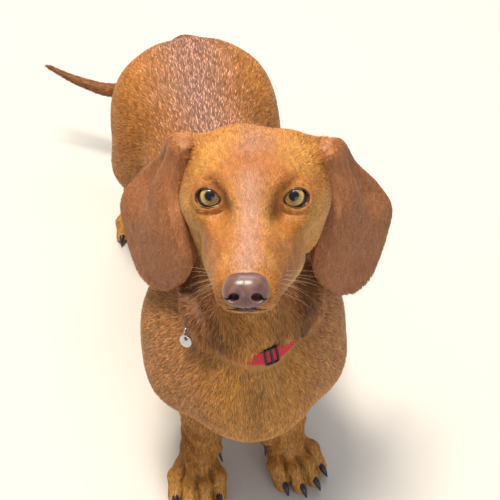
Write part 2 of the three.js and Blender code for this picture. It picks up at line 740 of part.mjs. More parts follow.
let headSolid = solid(skinOf(fleshIn(headGroup), headGrid)).intersect(beyond(headCutPoint, headCutNormal));
for (const side of [1, -1]) {
  const opening = loft([lidPoints(side, 3), lidPoints(side, 24)]);
  const rim = new THREE.CatmullRomCurve3(lidPoints(side, EYE_RADIUS + 1.6), true);
  headSolid = headSolid.subtract(solid(opening)).add(solid(tube(rim, LID_STEPS, () => LID_RIM, 7, true)));
  headSolid = headSolid.subtract(eyeball(side, GAP));
  addNode("eye_" + (side > 0 ? "left" : "right"), eyeball(side, 0), eyeGlass, headGroup);
}

// The line of the mouth, from one corner round the front to the other
const MOUTH_STEPS = 28;
const MOUTH_GROOVE = 1.3;
const MOUTH_Z = -41; // height of the line under the nose
const MOUTH_DROP = 9; // how much lower its corners are
const MOUTH_CORNER_Y = -22;
const mouthPoints = [];
for (let i = 0; i <= MOUTH_STEPS; i++) {
  const share = (2 * i) / MOUTH_STEPS - 1;
  const angle = (share * Math.PI) / 2;
  const z = MOUTH_Z - MOUTH_DROP * Math.abs(share) ** 2.2;
  const from = V(0, MOUTH_CORNER_Y - 60 * Math.cos(angle), z);
  const out = V(Math.sin(angle), -Math.cos(angle), 0).normalize();
  mouthPoints.push(leaves(head, from, out, 60));
}
const mouth = tube(new THREE.CatmullRomCurve3(mouthPoints), MOUTH_STEPS, () => MOUTH_GROOVE, 5);
headSolid = headSolid.subtract(solid(mouth));

const NOSE_BACK = -83; // the leather is set into the muzzle up to here
const noseGrid = [bothSides(graded([1.5, 3], [18, 3])), even(-111, -76, 3.2), even(-51, -8, 3)];
function noseSolid(grow) {
  const leather = solid(skinOf((x, y, z) => hollowNose(Math.abs(x), y, z) - grow, noseGrid));
  return leather.intersect(box([-30, -130, -60], [30, NOSE_BACK + grow, 0]));
}
addNode("nose", noseSolid(0), noseLeather, headGroup);
addNode("head", headSolid.subtract(noseSolid(GAP)), redCoat, headGroup);

// Ears: hanging flaps in a level frame that is turned with the head

const EAR_YAW = -11; // degrees, nearly as far as the head
const earGroup = new THREE.Group();
earGroup.position.set(...EYES);
earGroup.rotation.z = radians(EAR_YAW);
earGroup.updateMatrix();
dog.add(earGroup);

const EAR_ROWS = 15;
const EAR_COLUMNS = 7;
const EAR_THICK = 3.2;
const EAR_EDGE = 1.8;
const EAR_FRONT = [
  [34, 52, -10],
  [48, 46, 4],
  [53, 42, -12],
  [58, 37, -34],
  [52, 28, -60],
  [48, 22, -88],
  [55, 24, -111],
  [66, 31, -128],
];
const EAR_BACK = [
  [38, 72, -12],
  [59, 67, 0],
  [73, 76, -31],
  [92, 86, -64],
  [103, 88, -90],
  [100, 79, -112],
  [88, 52, -131],
  [76, 38, -133],
];

const EAR_ROLL = [-6, 8, 2]; // how the front edge turns in towards the cheek
const ROLLED = 0.14; // share of the ear's width that turns in
const EAR_CROWN = 9; // how far the middle of the flap stands out from its edges
const EAR_DIP = 9; // depth of the hollow near the flap's outer corner
const DIP_AT = [0.72, 0.42]; // shares of the width and of the length
const DIP_SIZE = [0.17, 0.2];
const SHARE = 0.01; // step over which the flap's slopes are read

function ear(side, forward) {
  const [front, back] = [EAR_FRONT, EAR_BACK].map(
    (points) =>
      new THREE.CatmullRomCurve3(
        points.map(([x, y, z], n) => {
          const ahead = forward * THREE.MathUtils.smoothstep(n, 2, 5);
          return V(side * x, y - ahead, z + ahead);
        }),
      ),
  );
  const turnIn = V(side * EAR_ROLL[0], EAR_ROLL[1], EAR_ROLL[2]);
  const middle = (s, t) => {
    const p = front.getPointAt(t).lerp(back.getPointAt(t), Math.max(s - ROLLED, 0) / (1 - ROLLED));
    return p.addScaledVector(turnIn, Math.max(1 - s / ROLLED, 0) * Math.sin(Math.PI * t) ** 0.5);
  };
  const rings = [];
  for (let row = 0; row <= EAR_ROWS; row++) {
    const t = row / EAR_ROWS;
    const outer = [];
    const inner = [];
    for (let column = 0; column <= EAR_COLUMNS; column++) {
      const s = column / EAR_COLUMNS;
      const alongRow = middle(Math.min(s + SHARE, 1), t).sub(middle(Math.max(s - SHARE, 0), t));
      const down = middle(s, Math.min(t + SHARE, 1)).sub(middle(s, Math.max(t - SHARE, 0)));
      const out = alongRow.cross(down).normalize().multiplyScalar(-side);
      const fromEdge = Math.sqrt(Math.sin(Math.PI * THREE.MathUtils.clamp(s, 0.04, 0.96)));
      const crown = EAR_CROWN * Math.sin(Math.PI * s) * Math.sin(Math.PI * Math.min(t * 1.1, 1)) ** 0.6;
      const [acrossDip, alongDip] = [(s - DIP_AT[0]) / DIP_SIZE[0], (t - DIP_AT[1]) / DIP_SIZE[1]];
      const dip = EAR_DIP * Math.exp(-(acrossDip ** 2) - alongDip ** 2);
      const half = THREE.MathUtils.lerp(EAR_EDGE, EAR_THICK, fromEdge) / 2;
      const at = middle(s, t).addScaledVector(out, crown - dip);
      outer.push(at.clone().addScaledVector(out, half));
      inner.push(at.clone().addScaledVector(out, -half));
    }
    rings.push([...outer, ...inner.reverse()]);
  }
  return solid(loft(rings));
}

// How far the lower part of each ear hangs forward of the plain flap; the right one lies against the neck
const HANGS_FORWARD = { left: 5, right: 17 };
const EAR_GAP = 0.45; // between the ears and the skull
const fleshInHead = fleshIn(headGroup);
const grownHead = solid(skinOf((x, y, z) => fleshInHead(x, y, z) - EAR_GAP, headGrid), headToDog);
const headInEars = grownHead.transform(earGroup.matrix.clone().invert().elements);
addNode("ear_left", ear(1, HANGS_FORWARD.left).subtract(headInEars), earCoat, earGroup);
addNode("ear_right", ear(-1, HANGS_FORWARD.right).subtract(headInEars), earCoat, earGroup);

// Collar: a band of webbing in a tilted plane, which sinks into the loose skin of the throat

const COLLAR_CENTRE = V(0, -4, 230);
const COLLAR_UP = V(0.06, -0.41, 0.9).normalize();
const COLLAR_ROUND = V(0, -COLLAR_UP.z, COLLAR_UP.y).normalize();
const BAND = { low: -5, high: 5, inner: 0.6, outer: 2.6 };
const BAND_STEPS = 36;
const SLIDER = { low: -6.4, high: 6.4, inner: -0.8, outer: 4 };
const SLIDER_ANGLES = [6, 15]; // degrees round the collar from the front, towards the dog's left
const BUCKLE = { low: -7.5, high: 7.5, inner: -1, outer: 6.4 };
const BUCKLE_ANGLES = [32, 56];
const RING_ANGLE = -48;

// A point on the bare neck at an angle round the collar, and the ways across and out of the band there.
function collarFrame(degrees) {
  const level = COLLAR_ROUND.clone().applyAxisAngle(COLLAR_UP, radians(degrees));
  const onNeck = (height) =>
    leaves(bareFlesh, COLLAR_CENTRE.clone().addScaledVector(COLLAR_UP, height), level, 110);
  const at = onNeck(0);
  const across = onNeck(BAND.high).sub(onNeck(BAND.low)).normalize();
  const out = level.clone().projectOnPlane(across).normalize();
  return { at, across, out };
}

// A length of strap, buckle or loop: low to high across the band, inner to outer off the neck.
function collarPiece({ low, high, inner, outer }, grow, angles) {
  const rings = angles.map((degrees) => {
    const { at, across, out } = collarFrame(degrees);
    const corner = (height, stand) => at.clone().addScaledVector(across, height).addScaledVector(out, stand);
    return [
      corner(low - grow, inner - grow),
      corner(high + grow, inner - grow),
      corner(high + grow, outer + grow),
      corner(low - grow, outer + grow),
    ];
  });
  return solid(loft(rings, angles.length === BAND_STEPS));
}

const allRound = Array.from({ length: BAND_STEPS }, (_, n) => (n * 360) / BAND_STEPS);
const ARC_STEPS = 4;
const MM_PER_DEGREE = 1.2; // along the band
function arc([from, to], grow) {
  const [first, last] = [from - grow / MM_PER_DEGREE, to + grow / MM_PER_DEGREE];
  return Array.from({ length: ARC_STEPS + 1 }, (_, n) => THREE.MathUtils.lerp(first, last, n / ARC_STEPS));
}
const band = (grow) => collarPiece(BAND, grow, allRound);
const slider = (grow) => collarPiece(SLIDER, grow, arc(SLIDER_ANGLES, grow));
const buckle = (grow) => collarPiece(BUCKLE, grow, arc(BUCKLE_ANGLES, grow));

addNode("collar_slider", slider(0).subtract(band(GAP)), blackPlastic);
addNode("collar_buckle", buckle(0).subtract(band(GAP)), blackPlastic);

// The keeper on the band holds a D ring, a round ring hangs in that and a plain disc hangs in the round ring.

const KEEPER = { low: -4, high: 4, inner: 2, outer: 5.6 };
const D_WIRE = 0.9;
const RING_WIRE = 0.8;
const RING_RADIUS = 5.6;
const TAG_RADIUS = 5.2;
const TAG_THICK = 1.2;

const ringGroup = new THREE.Group();
const ringPlace = collarFrame(RING_ANGLE);
const ringUpward = V(0, 0, 1).projectOnPlane(ringPlace.out).normalize();
const ringSideways = ringUpward.clone().cross(ringPlace.out);
const ringBasis = new THREE.Matrix4().makeBasis(ringSideways, ringUpward, ringPlace.out);
ringGroup.position.copy(ringPlace.at).addScaledVector(ringPlace.out, 4);
ringGroup.quaternion.setFromRotationMatrix(ringBasis);
ringGroup.updateMatrix();
dog.add(ringGroup);

const D_POINTS = [[-4.6, 0, 0], [0, 0, 0], [4.6, 0, 0], [4.9, -3.5, 3.2], [0, -6.5, 6], [-4.9, -3.5, 3.2]];
const dLine = new THREE.CatmullRomCurve3(D_POINTS.map((p) => V(...p)), true);
const dRing = (grow) => solid(tube(dLine, 16, () => D_WIRE + grow, 6, true));
const hang = V(...D_POINTS[4]);

const roundRing = new THREE.TorusGeometry(RING_RADIUS, RING_WIRE, 6, 16);
roundRing.rotateY(Math.PI / 2);
const ringDrop = RING_RADIUS - D_WIRE - RING_WIRE - GAP;
roundRing.translate(hang.x, hang.y - ringDrop, hang.z);

const tag = new THREE.CylinderGeometry(TAG_RADIUS, TAG_RADIUS, TAG_THICK, 24);
tag.rotateX(Math.PI / 2);
const tagHole = new THREE.CylinderGeometry(RING_WIRE * 2, RING_WIRE * 2, TAG_THICK * 3, 10);
tagHole.rotateX(Math.PI / 2);
const holeY = hang.y - ringDrop - RING_RADIUS - 0.4;
tagHole.translate(hang.x, holeY, hang.z);
tag.translate(hang.x, holeY - TAG_RADIUS + RING_WIRE * 2 + 1.2, hang.z);

const keeperAngles = arc([RING_ANGLE - 2.2, RING_ANGLE + 2.2], 0);
const keeper = (grow) => collarPiece(KEEPER, grow, keeperAngles);
let collarSolid = band(0).add(keeper(0));
collarSolid = collarSolid.subtract(dRing(GAP).transform(ringGroup.matrix.elements));
addNode("collar", collarSolid, redWebbing);
addNode("collar_d_ring", dRing(0), ringSteel, ringGroup);
addNode("tag_ring", solid(roundRing), ringSteel, ringGroup);
addNode("tag", solid(tag).subtract(solid(tagHole)), ringSteel, ringGroup);

// Neck

let neckSolid = trunkSkin.intersect(beyond(NECK_CUT.point, NECK_CUT.normal));
neckSolid = neckSolid.intersect(beyond(HEAD_CUT.point, against(HEAD_CUT.normal)));
const hung = [dRing(GAP), solid(roundRing)].map((piece) => piece.transform(ringGroup.matrix.elements));
for (const worn of [band(GAP), keeper(GAP), slider(GAP), buckle(GAP), ...hung]) {
  neckSolid = neckSolid.subtract(worn);
}
addNode("neck", neckSolid, redCoat);

dog.position.set(-CENTRE[0], -CENTRE[1], 0);

export default dog;
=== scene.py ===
# %% [markdown]
# # A smooth-coated dachshund, life size
# The solids from the CAD program are loaded first. They give the frame: one metre is one metre, +Z is up,
# the nose points along -Y and the dog stands on z = 0. Everything made below is laid over them.

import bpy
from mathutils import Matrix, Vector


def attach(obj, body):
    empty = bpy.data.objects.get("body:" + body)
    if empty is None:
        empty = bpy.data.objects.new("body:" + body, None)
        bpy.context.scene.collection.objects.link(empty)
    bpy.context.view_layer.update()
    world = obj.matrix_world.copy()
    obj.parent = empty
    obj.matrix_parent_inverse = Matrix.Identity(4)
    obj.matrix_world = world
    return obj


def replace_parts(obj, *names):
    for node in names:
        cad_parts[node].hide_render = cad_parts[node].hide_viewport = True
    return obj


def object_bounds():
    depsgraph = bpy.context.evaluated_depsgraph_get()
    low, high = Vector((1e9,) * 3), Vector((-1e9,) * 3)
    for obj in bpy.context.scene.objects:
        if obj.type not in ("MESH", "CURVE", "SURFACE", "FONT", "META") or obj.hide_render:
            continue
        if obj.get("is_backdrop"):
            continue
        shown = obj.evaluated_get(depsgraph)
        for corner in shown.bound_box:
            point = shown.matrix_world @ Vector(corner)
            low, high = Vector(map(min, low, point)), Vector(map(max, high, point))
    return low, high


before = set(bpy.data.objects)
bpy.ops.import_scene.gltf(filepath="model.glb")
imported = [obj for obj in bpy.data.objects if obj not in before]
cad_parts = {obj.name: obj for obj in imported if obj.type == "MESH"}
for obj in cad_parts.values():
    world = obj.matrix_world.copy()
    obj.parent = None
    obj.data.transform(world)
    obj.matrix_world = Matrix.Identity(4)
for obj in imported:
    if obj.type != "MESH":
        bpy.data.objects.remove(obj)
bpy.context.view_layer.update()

# %% [markdown]
# ## Camera
# The picture was taken by someone who stands and looks down at the dog: 47 degrees down and a little from
# the dog's right, from 1.5 m away. A camera at that place with a long lens gives the same perspective. Its
# lens is 1650 pixels long for a picture 500 pixels wide.

# %% Camera
import math

import bpy
import numpy as np
from mathutils import Euler, Vector
from mathutils.bvhtree import BVHTree

PICTURE = 500
LENS_PIXELS = 1650
camera_data = bpy.data.cameras.new("camera")
camera_data.sensor_width = 36
camera_data.lens = 36 * LENS_PIXELS / PICTURE
camera = bpy.data.objects.new("camera", camera_data)
camera.location = (-0.113, -0.9705, 1.1562)
camera.rotation_euler = (math.radians(90 - 47), 0, math.radians(-8.5))
bpy.context.scene.collection.objects.link(camera)
bpy.context.scene.camera = camera
print("lens", round(camera_data.lens, 1), "mm")

# %% [markdown]
# ## Materials are built from nodes
# One small function adds a node, sets its values and links its inputs, and another turns the colours of a
# paint chart, which are written as sRGB hex, into the linear colours that the shader adds up.

# %% Nodes and colours


def linear(hex_colour):
    """An sRGB hex colour as linear red, green, blue and alpha."""
    channels = [int(hex_colour[i : i + 2], 16) / 255 for i in (1, 3, 5)]
    return (*(c / 12.92 if c <= 0.04045 else ((c + 0.055) / 1.055) ** 2.4 for c in channels), 1.0)


def add_node(tree, kind, settings=None, **inputs):
    """Adds a node; an input is a value, a socket to link from, or a node, which stands for its first output.

    In the inputs' names _ stands for a space, and i0, i1 and so on are inputs by number.
    """
    node = tree.nodes.new(kind)
    for name, value in (settings or {}).items():
        setattr(node, name, value)
    for name, value in inputs.items():
        key = name.replace("_", " ")
        socket = node.inputs[int(key[1:])] if key[1:].isdigit() and key[0] == "i" else node.inputs[key]
        if isinstance(value, bpy.types.Node):
            value = value.outputs[0]
        if isinstance(value, bpy.types.NodeSocket):
            tree.links.new(value, socket)
        else:
            socket.default_value = value
    return node


def new_material(name):
    """An empty material and its node tree."""
    material = bpy.data.materials.new(name)
    material.use_nodes = True
    material.node_tree.nodes.clear()
    return material, material.node_tree


def ramp(tree, factor, stops):
    """A colour ramp with (position, sRGB hex) stops."""
    node = add_node(tree, "ShaderNodeValToRGB", i0=factor)
    elements = node.color_ramp.elements
    while len(elements) < len(stops):
        elements.new(0.5)
    for element, (position, colour) in zip(elements, stops):
        element.position = position
        element.color = linear(colour)
    return node


def surface(tree, **inputs):
    """Ends a material in one Principled surface with these inputs."""
    shader = add_node(tree, "ShaderNodeBsdfPrincipled", **inputs)
    add_node(tree, "ShaderNodeOutputMaterial", Surface=shader)


def grained(name, grain, tones, detail=2.0, bump=None, **inputs):
    """A material whose colour varies with a fine noise; bump is the noise's strength and depth in metres."""
    material, tree = new_material(name)
    coordinates = add_node(tree, "ShaderNodeTexCoord").outputs["Object"]
    noise = add_node(tree, "ShaderNodeTexNoise", Vector=coordinates, Scale=grain, Detail=detail)
    if bump:
        inputs["Normal"] = add_node(tree, "ShaderNodeBump", Strength=bump[0], Distance=bump[1], Height=noise)
    surface(tree, Base_Color=ramp(tree, noise, tones), **inputs)
    return material


# %% [markdown]
# ## Floor and light
# A pale seamless floor and large soft lamps, as in a museum's photo studio. The key lamp hangs high in
# front, where the sky stood in the photo, so that the crown, the bridge of the nose and the back take the
# light and the throat falls into shade.

# %% Floor and lamps
# matt studio paint, very slightly uneven
floor_material, tree = new_material("painted_studio_floor")
noise = add_node(tree, "ShaderNodeTexNoise", Scale=3.0, Detail=4.0)
surface(tree, Base_Color=ramp(tree, noise, [(0.3, "#D2CEC6"), (0.7, "#D6D2CA")]), Roughness=0.85)

bpy.ops.mesh.primitive_plane_add(size=12, location=(0, 0, -0.0002))
floor = bpy.context.object
floor.name = "studio_floor"
floor.data.materials.append(floor_material)
floor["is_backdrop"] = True

LAMPS = [
    ("key", (-0.3, 0.1, 2.4), 0.6, 74, "#FFF4E4"),
    ("fill", (0.6, -2.2, 1.1), 1.6, 16, "#FBF8FF"),
    ("back", (0.3, 1.6, 1.9), 1.0, 18, "#FFFFFF"),
]
for name, place, size, watts, colour in LAMPS:
    lamp_data = bpy.data.lights.new(name, "AREA")
    lamp_data.size = size
    lamp_data.energy = watts
    lamp_data.color = linear(colour)[:3]
    lamp = bpy.data.objects.new(name, lamp_data)
    lamp.location = place
    lamp.rotation_euler = (Vector((0, 0, 0.15)) - Vector(place)).to_track_quat("-Z", "Y").to_euler()
    bpy.context.scene.collection.objects.link(lamp)

world = bpy.data.worlds.new("studio_air")
bpy.context.scene.world = world
world.use_nodes = True
world.node_tree.nodes["Background"].inputs[0].default_value = linear("#DCE4EE")
world.node_tree.nodes["Background"].inputs[1].default_value = 0.42
bpy.context.scene.view_settings.view_transform = "Standard"
print("lamps", len(LAMPS))

# %% [markdown]
# ## The dog's form as one field
# Real skin runs without a seam from the nose to the tail. So the flesh is one function: negative inside the
# dog and zero on its surface. It is made of rounded lumps, one for each mass of bone and muscle, that melt
# into each other. Lengths are in millimetres, in the frame in which the dog was drawn: the shoulders stand
# near the origin. NumPy works on thousands of points at a time.

# %% Lumps
CENTRE = np.array([-5.0, 128.0, 0.0])  # the drawing's point that stands at the frame's origin
EYES = np.array([3.0, -45.0, 340.0])
FAR = 1000.0
CHUNK = 30000


def turned(angles, order):
    """A rotation matrix; the order names the axis that turns first at its left."""
    return np.array(Euler([math.radians(a) for a in angles], order).to_matrix())


def ellipsoid(centre, radii, blend, turn=(0, 0, 0)):
    axes = turned(turn, "ZYX")
    centre, radii = np.array(centre, float), np.array(radii, float)

    def distance(p):
        q = ((p - centre) @ axes) / radii
        k = np.maximum(np.sqrt((q * q).sum(1)), 1e-4)
        q /= radii
        return k * (k - 1) / np.maximum(np.sqrt((q * q).sum(1)), 1e-6)

    return distance, blend


def limb(a, b, radius_a, radius_b, blend):
    """A cone with round ends, from a to b."""
    a = np.array(a, float)
    line = np.array(b, float) - a
    length2 = line @ line
    taper = radius_a - radius_b
    side2 = length2 - taper * taper

    def distance(p):
        from_a = p - a
        along = from_a @ line
        past = along - length2
        q = from_a * length2 - line * along[:, None]
        across2 = (q * q).sum(1)
        along2, past2 = along * along * length2, past * past * length2
        k = np.sign(taper) * taper * taper * across2
        side = (np.sqrt(across2 * side2 / length2) + along * taper) / length2 - radius_a
        end_a = np.sqrt(across2 + along2) / length2 - radius_a
        end_b = np.sqrt(across2 + past2) / length2 - radius_b
        d = np.where(np.sign(along) * side2 * along2 < k, end_a, side)
        return np.where(np.sign(past) * side2 * past2 > k, end_b, d)

    return distance, blend


def melt(a, b, width):
    h = np.maximum(width - np.abs(a - b), 0)
    return np.minimum(a, b) - h * h / (4 * width)


def fuse(lumps):
    def distance(p):
        d = np.full(len(p), FAR)
        for lump, blend in lumps:
            d = melt(d, lump(p), blend)
        return d

    return distance


def hollowed(field, hollows):
    def distance(p):
        d = field(p)
        for hollow, blend in hollows:
            d = -melt(-d, hollow(p), blend)
        return d

    return distance


def within(field, low, high):
    """The same field, worked out only in a box that is larger than its melting reaches."""

    def distance(p):
        d = np.full(len(p), FAR)
        near = ((p > low) & (p < high)).all(1)
        if near.any():
            d[near] = field(p[near])
        return d

    return distance


def smooth_step(x, low, high):
    t = np.clip((x - low) / (high - low), 0, 1)
    return t * t * (3 - 2 * t)


def hump(x, middle, half):
    """1 in the middle, falling smoothly to 0 at half a width away and more."""
    return np.exp(-(((x - middle) / half) ** 2))


# %% [markdown]
# ## Trunk, legs and neck
# A dachshund's rib cage is long and reaches back over short, strong legs. Its forelegs wrap round the chest.
# The lumps are the same on both sides of the spine, so they are given once and the distance from the middle
# line is used. The spine bends a little, as the rump stands to one side.

# %% Trunk, legs, neck
BACK_Z, BRISKET_Z = 213, 79.5
WRIST_X, HOCK_X = 34, 52
SHOULDER_SHIFT, RUMP_SHIFT = 2.5, -4
CHEST_Z = (BACK_Z + BRISKET_Z) / 2
trunk = fuse(
    [
        ellipsoid([0, 66, CHEST_Z], [67, 152, (BACK_Z - BRISKET_Z) / 2], 10),
        ellipsoid([0, 40, BRISKET_Z + 38], [34, 110, 37], 20),
        ellipsoid([0, -40, 140], [54, 46, 46], 24),
        ellipsoid([0, 48, 190], [34, 86, 25], 22),
        ellipsoid([0, 200, 160], [52, 110, 50], 26),
        ellipsoid([0, 262, 160], [60, 62, 50], 24),
        ellipsoid([22, 266, 150], [42, 60, 50], 24),
    ]
)
fore_limb = within(
    fuse(
        [
            ellipsoid([53, -8, 152], [28, 46, 52], 14, [-22, 0, -12]),
            limb([47, -22, 134], [46, 18, 104], 26, 24, 18),
            limb([44, 20, 98], [WRIST_X + 1, 2, 62], 22, 19, 14),
            limb([WRIST_X + 1, 2, 62], [WRIST_X, -6, 40], 19, 17.5, 8),
        ]
    ),
    [-40, -100, 0],
    [120, 100, 240],
)
hind_limb = within(
    fuse(
        [
            ellipsoid([45, 260, 134], [29, 55, 52], 14, [14, 0, 0]),
            ellipsoid([50, 240, 122], [22, 32, 34], 14),
            limb([54, 244, 108], [HOCK_X + 1, 300, 68], 22, 12.5, 16),
            limb([HOCK_X + 1, 303, 64], [HOCK_X + 2, 288, 26], 12.5, 12, 8),
        ]
    ),
    [-40, 165, 0],
    [120, 370, 250],
)
neck = within(
    fuse(
        [
            limb([4, 8, 186], [5, 12, 284], 62, 41, 30),
            limb([0, -38, 168], [3, -8, 262], 36, 30, 26),
            limb([0, 50, 196], [6, 36, 296], 30, 30, 26),
        ]
    ),
    [-110, -125, 80],
    [115, 130, 380],
)
# Loose skin of the throat, which folds over the collar
folds = within(
    fuse(
        [
            limb([24, -32, 246], [19, -53, 214], 12, 12, 12),
            limb([-8, -59, 213], [-26, -48, 222], 15, 15, 12),
            limb([-26, -48, 222], [-35, -38, 228], 15, 12, 12),
            limb([-35, -38, 228], [-41, -27, 234], 12, 9, 12),
            limb([32, -48, 215], [42, -35, 219], 14, 15, 12),
            limb([42, -35, 219], [49, -22, 225], 15, 12, 12),
        ]
    ),
    [-75, -105, 165],
    [85, 10, 280],
)


def spine_x(y):
    return SHOULDER_SHIFT + (RUMP_SHIFT - SHOULDER_SHIFT) * smooth_step(y, 20, 280)


# %% [markdown]
# ## Paws
# Each paw has its own frame: the toes point along -Y and the floor is z = 0. Four toes of two lumps each
# stand round a pad, and a front paw has a dewclaw on its inner side.

# %% Paws
TOE_X = [-17.5, -6.3, 6.3, 17.5]
MIDDLE_TOE, OUTER_TOE = 37, 28
DEWCLAW = np.array([-17.0, 2.0, 30.0])
# name, side, place on the floor, degrees turned out, size, the leg's ankle, front or not
PAWS = [
    ("forepaw_left", 1, (34, -18), 22, 1.0, (WRIST_X, -6, 44), True),
    ("forepaw_right", -1, (41, -24), 7, 1.0, (WRIST_X, -6, 44), True),
    ("hindpaw_left", 1, (56, 278), 6, 0.86, (HOCK_X + 2, 288, 30), False),
    ("hindpaw_right", -1, (56, 278), 6, 0.86, (HOCK_X + 2, 288, 30), False),
]


def paw_frame(side, at, out, front):
    """The paw's origin in the dog's frame and its axes as columns."""
    lean = 0 if front else RUMP_SHIFT
    return np.array([side * at[0] + lean, at[1], 0.0]), turned((0, 0, side * out), "XYZ")


def paw_lumps(side, size, ankle, front):
    def scaled(*point):
        return np.array(point) * size

    lumps = [
        limb(ankle, scaled(0, -8, 17), 15.5 * size, 16 * size, 12),
        ellipsoid(scaled(0, -8, 9), scaled(17, 15, 10), 8),
    ]
    for x in TOE_X:
        reach = OUTER_TOE if abs(x) > 10 else MIDDLE_TOE
        knuckle = scaled(x * 0.95, 12 - reach, 16)
        lumps.append(limb(scaled(x * 0.62, -6, 18), knuckle, 8 * size, 7.6 * size, 4))
        lumps.append(limb(knuckle, scaled(x * 1.03, -reach, 5.6), 7.6 * size, 6.8 * size, 3))
    if front:
        x, y, z = DEWCLAW
        lumps.append(limb([side * x * 0.7, y + 4, z + 6], [side * x, y, z], 6, 4.6, 5))
    return lumps


def one_side(p):
    """Points moved to the side of positive x."""
    side = p.copy()
    side[:, 0] = np.abs(side[:, 0])
    return side


def placed(field, origin, axes):
    """A field given in a frame of its own, read in the dog's frame."""
    return lambda p: field((p - origin) @ axes)


paws = []
for name, side, at, out, size, ankle, front in PAWS:
    origin, axes = paw_frame(side, at, out, front)
    lean = 0 if front else RUMP_SHIFT
    own_ankle = (np.array([side * ankle[0] + lean, ankle[1], ankle[2]]) - origin) @ axes
    field = placed(fuse(paw_lumps(side, size, own_ankle, front)), origin, axes)
    paws.append(within(field, origin - [60, 75, 20], origin + [60, 60, 72]))
print("paws", len(paws))

# %% [markdown]
# ## A smooth curve through points
# The tail and the ears' edges follow smooth lines through a few points. A Catmull-Rom curve passes through
# each of them, and its points are read at equal shares of its length.

# %% Curves


def curve_at(points, shares):
    """Points at the given shares of the length of the centripetal Catmull-Rom curve through the points."""
    points = np.array(points, float)
    padded = np.vstack([2 * points[0] - points[1], points, 2 * points[-1] - points[-2]])
    step = np.linspace(0, 1, 60, endpoint=False)[:, None]
    line = []
    for p0, p1, p2, p3 in zip(padded, padded[1:], padded[2:], padded[3:]):
        t0, t1, t2 = (max(np.linalg.norm(b - a), 1e-6) ** 0.5 for a, b in ((p0, p1), (p1, p2), (p2, p3)))
        m1 = ((p1 - p0) / t0 - (p2 - p0) / (t0 + t1) + (p2 - p1) / t1) * t1
        m2 = ((p2 - p1) / t1 - (p3 - p1) / (t1 + t2) + (p3 - p2) / t2) * t1
        a, b = 2 * p1 - 2 * p2 + m1 + m2, -3 * p1 + 3 * p2 - 2 * m1 - m2
        line.append(((a * step + b) * step + m1) * step + p1)
    line = np.vstack([*line, points[-1:]])
    run = np.concatenate([[0], np.cumsum(np.linalg.norm(np.diff(line, axis=0), axis=1))])
    return np.stack([np.interp(np.array(shares) * run[-1], run, line[:, i]) for i in range(3)], 1)


TAIL = [
    (0, 296, 176),
    (-3, 328, 168),
    (-16, 350, 138),
    (-40, 362, 106),
    (-68, 372, 88),
    (-102, 390, 88),
    (-132, 406, 98),
]
TAIL_STEPS = 60
tail_shares = np.linspace(0, 1, TAIL_STEPS + 1)
tail_line = curve_at(TAIL, tail_shares)
tail_radius = 15 + (1.8 - 15) * tail_shares**1.35
TAIL_ROOT = 22  # steps that belong to the body's field; the rest is a tube
tail = within(
    fuse(
        [
            limb(tail_line[i], tail_line[i + 1], tail_radius[i], tail_radius[i + 1], 0.1)
            for i in range(TAIL_ROOT)
        ]
    ),
    [-90, 255, 40],
    [60, 440, 240],
)

# %% [markdown]
# ## Head
# The head has its own frame: the origin is between the eyes and the nose points along -Y. The long muzzle,
# the low stop, the cheeks, the brows and the bulge of the lids over each eyeball are lumps of their own, and
# a soft hollow runs from the inner corner of each eye down the muzzle.

# %% Head
head_axes = turned((-26, -2.4, -11.8), "YXZ")
EYE_CENTRE = np.array([29.0, 2.0, 3.5])
EYE_RADIUS, LID = 10.5, 2.4
NOSE_Y, NOSE_Z = -94, -28.5
skull = fuse(
    [
        ellipsoid([0, 50, -2], [46, 52, 37], 10),
        ellipsoid([25, 50, 6], [25, 40, 27], 14),
        ellipsoid([0, 14, 4], [38, 42, 26], 16),
        ellipsoid([34, 24, -10], [17, 32, 15], 16, [0, 0, -12]),
        ellipsoid([31, 44, -26], [18, 28, 28], 14),
        limb([0, -4, -8], [0, -82, -26], 21, 12.5, 12),
        limb([10, -6, -28], [7, -80, -32.5], 24, 12.5, 14),
        limb([17, 2, -42], [8, -77, -35.5], 19, 10.5, 10),
        limb([0, 34, -46], [0, -73, -40], 24, 7.5, 12),
        ellipsoid([18, 3, 12], [12, 13, 9], 10),
    ]
)
skull = hollowed(skull, [ellipsoid([22, -25, 0], [7.5, 18, 9.5], 8)])
lid_bulge, lid_blend = ellipsoid(EYE_CENTRE, [EYE_RADIUS + LID] * 3, 5)


def head(p):
    """The head in its own frame, without the openings of the eyes."""
    side = one_side(p)
    return melt(skull(side), lid_bulge(side), lid_blend)


def to_head(p):
    return (p - EYES) @ head_axes


def from_head(p):
    return np.asarray(p) @ head_axes.T + EYES


placed_head = within(lambda p: head(to_head(p)), [-105, -190, 205], [110, 110, 410])


def bare_flesh(p):
    """The dog without the folds over its collar."""
    side = p.copy()
    side[:, 0] = np.abs(p[:, 0] - spine_x(p[:, 1]))
    d = trunk(side)
    d = melt(d, fore_limb(side), 16)
    d = melt(d, hind_limb(side), 20)
    d = melt(d, neck(p), 30)
    d = melt(d, tail(p), 14)
    d = melt(d, placed_head(p), 18)
    for paw in paws:
        d = melt(d, paw(p), 6)
    return d


def flesh(p):
    return melt(bare_flesh(p), folds(p), 12)


def in_chunks(field, p):
    """A field at many points, a few thousand at a time, which stays in the processor's cache."""
    p = np.asarray(p, float)
    return np.concatenate([field(p[i : i + CHUNK]) for i in range(0, len(p), CHUNK)])


probe = np.array([[0.0, 66, 213], [0, 66, 77], [0, 0, 400]])
print("field on the back, the brisket and above the head", flesh(probe).round(2))

# %% [markdown]
# ## Ears
# A dachshund's ear is a thin, soft flap of skin. It grows from a ridge high on the skull, rolls in at its
# front edge, and has a hollow near its outer corner. Two curves give its front and back edges. Every point
# of the flap lies between them, at a share s of its width and a share t of its length.

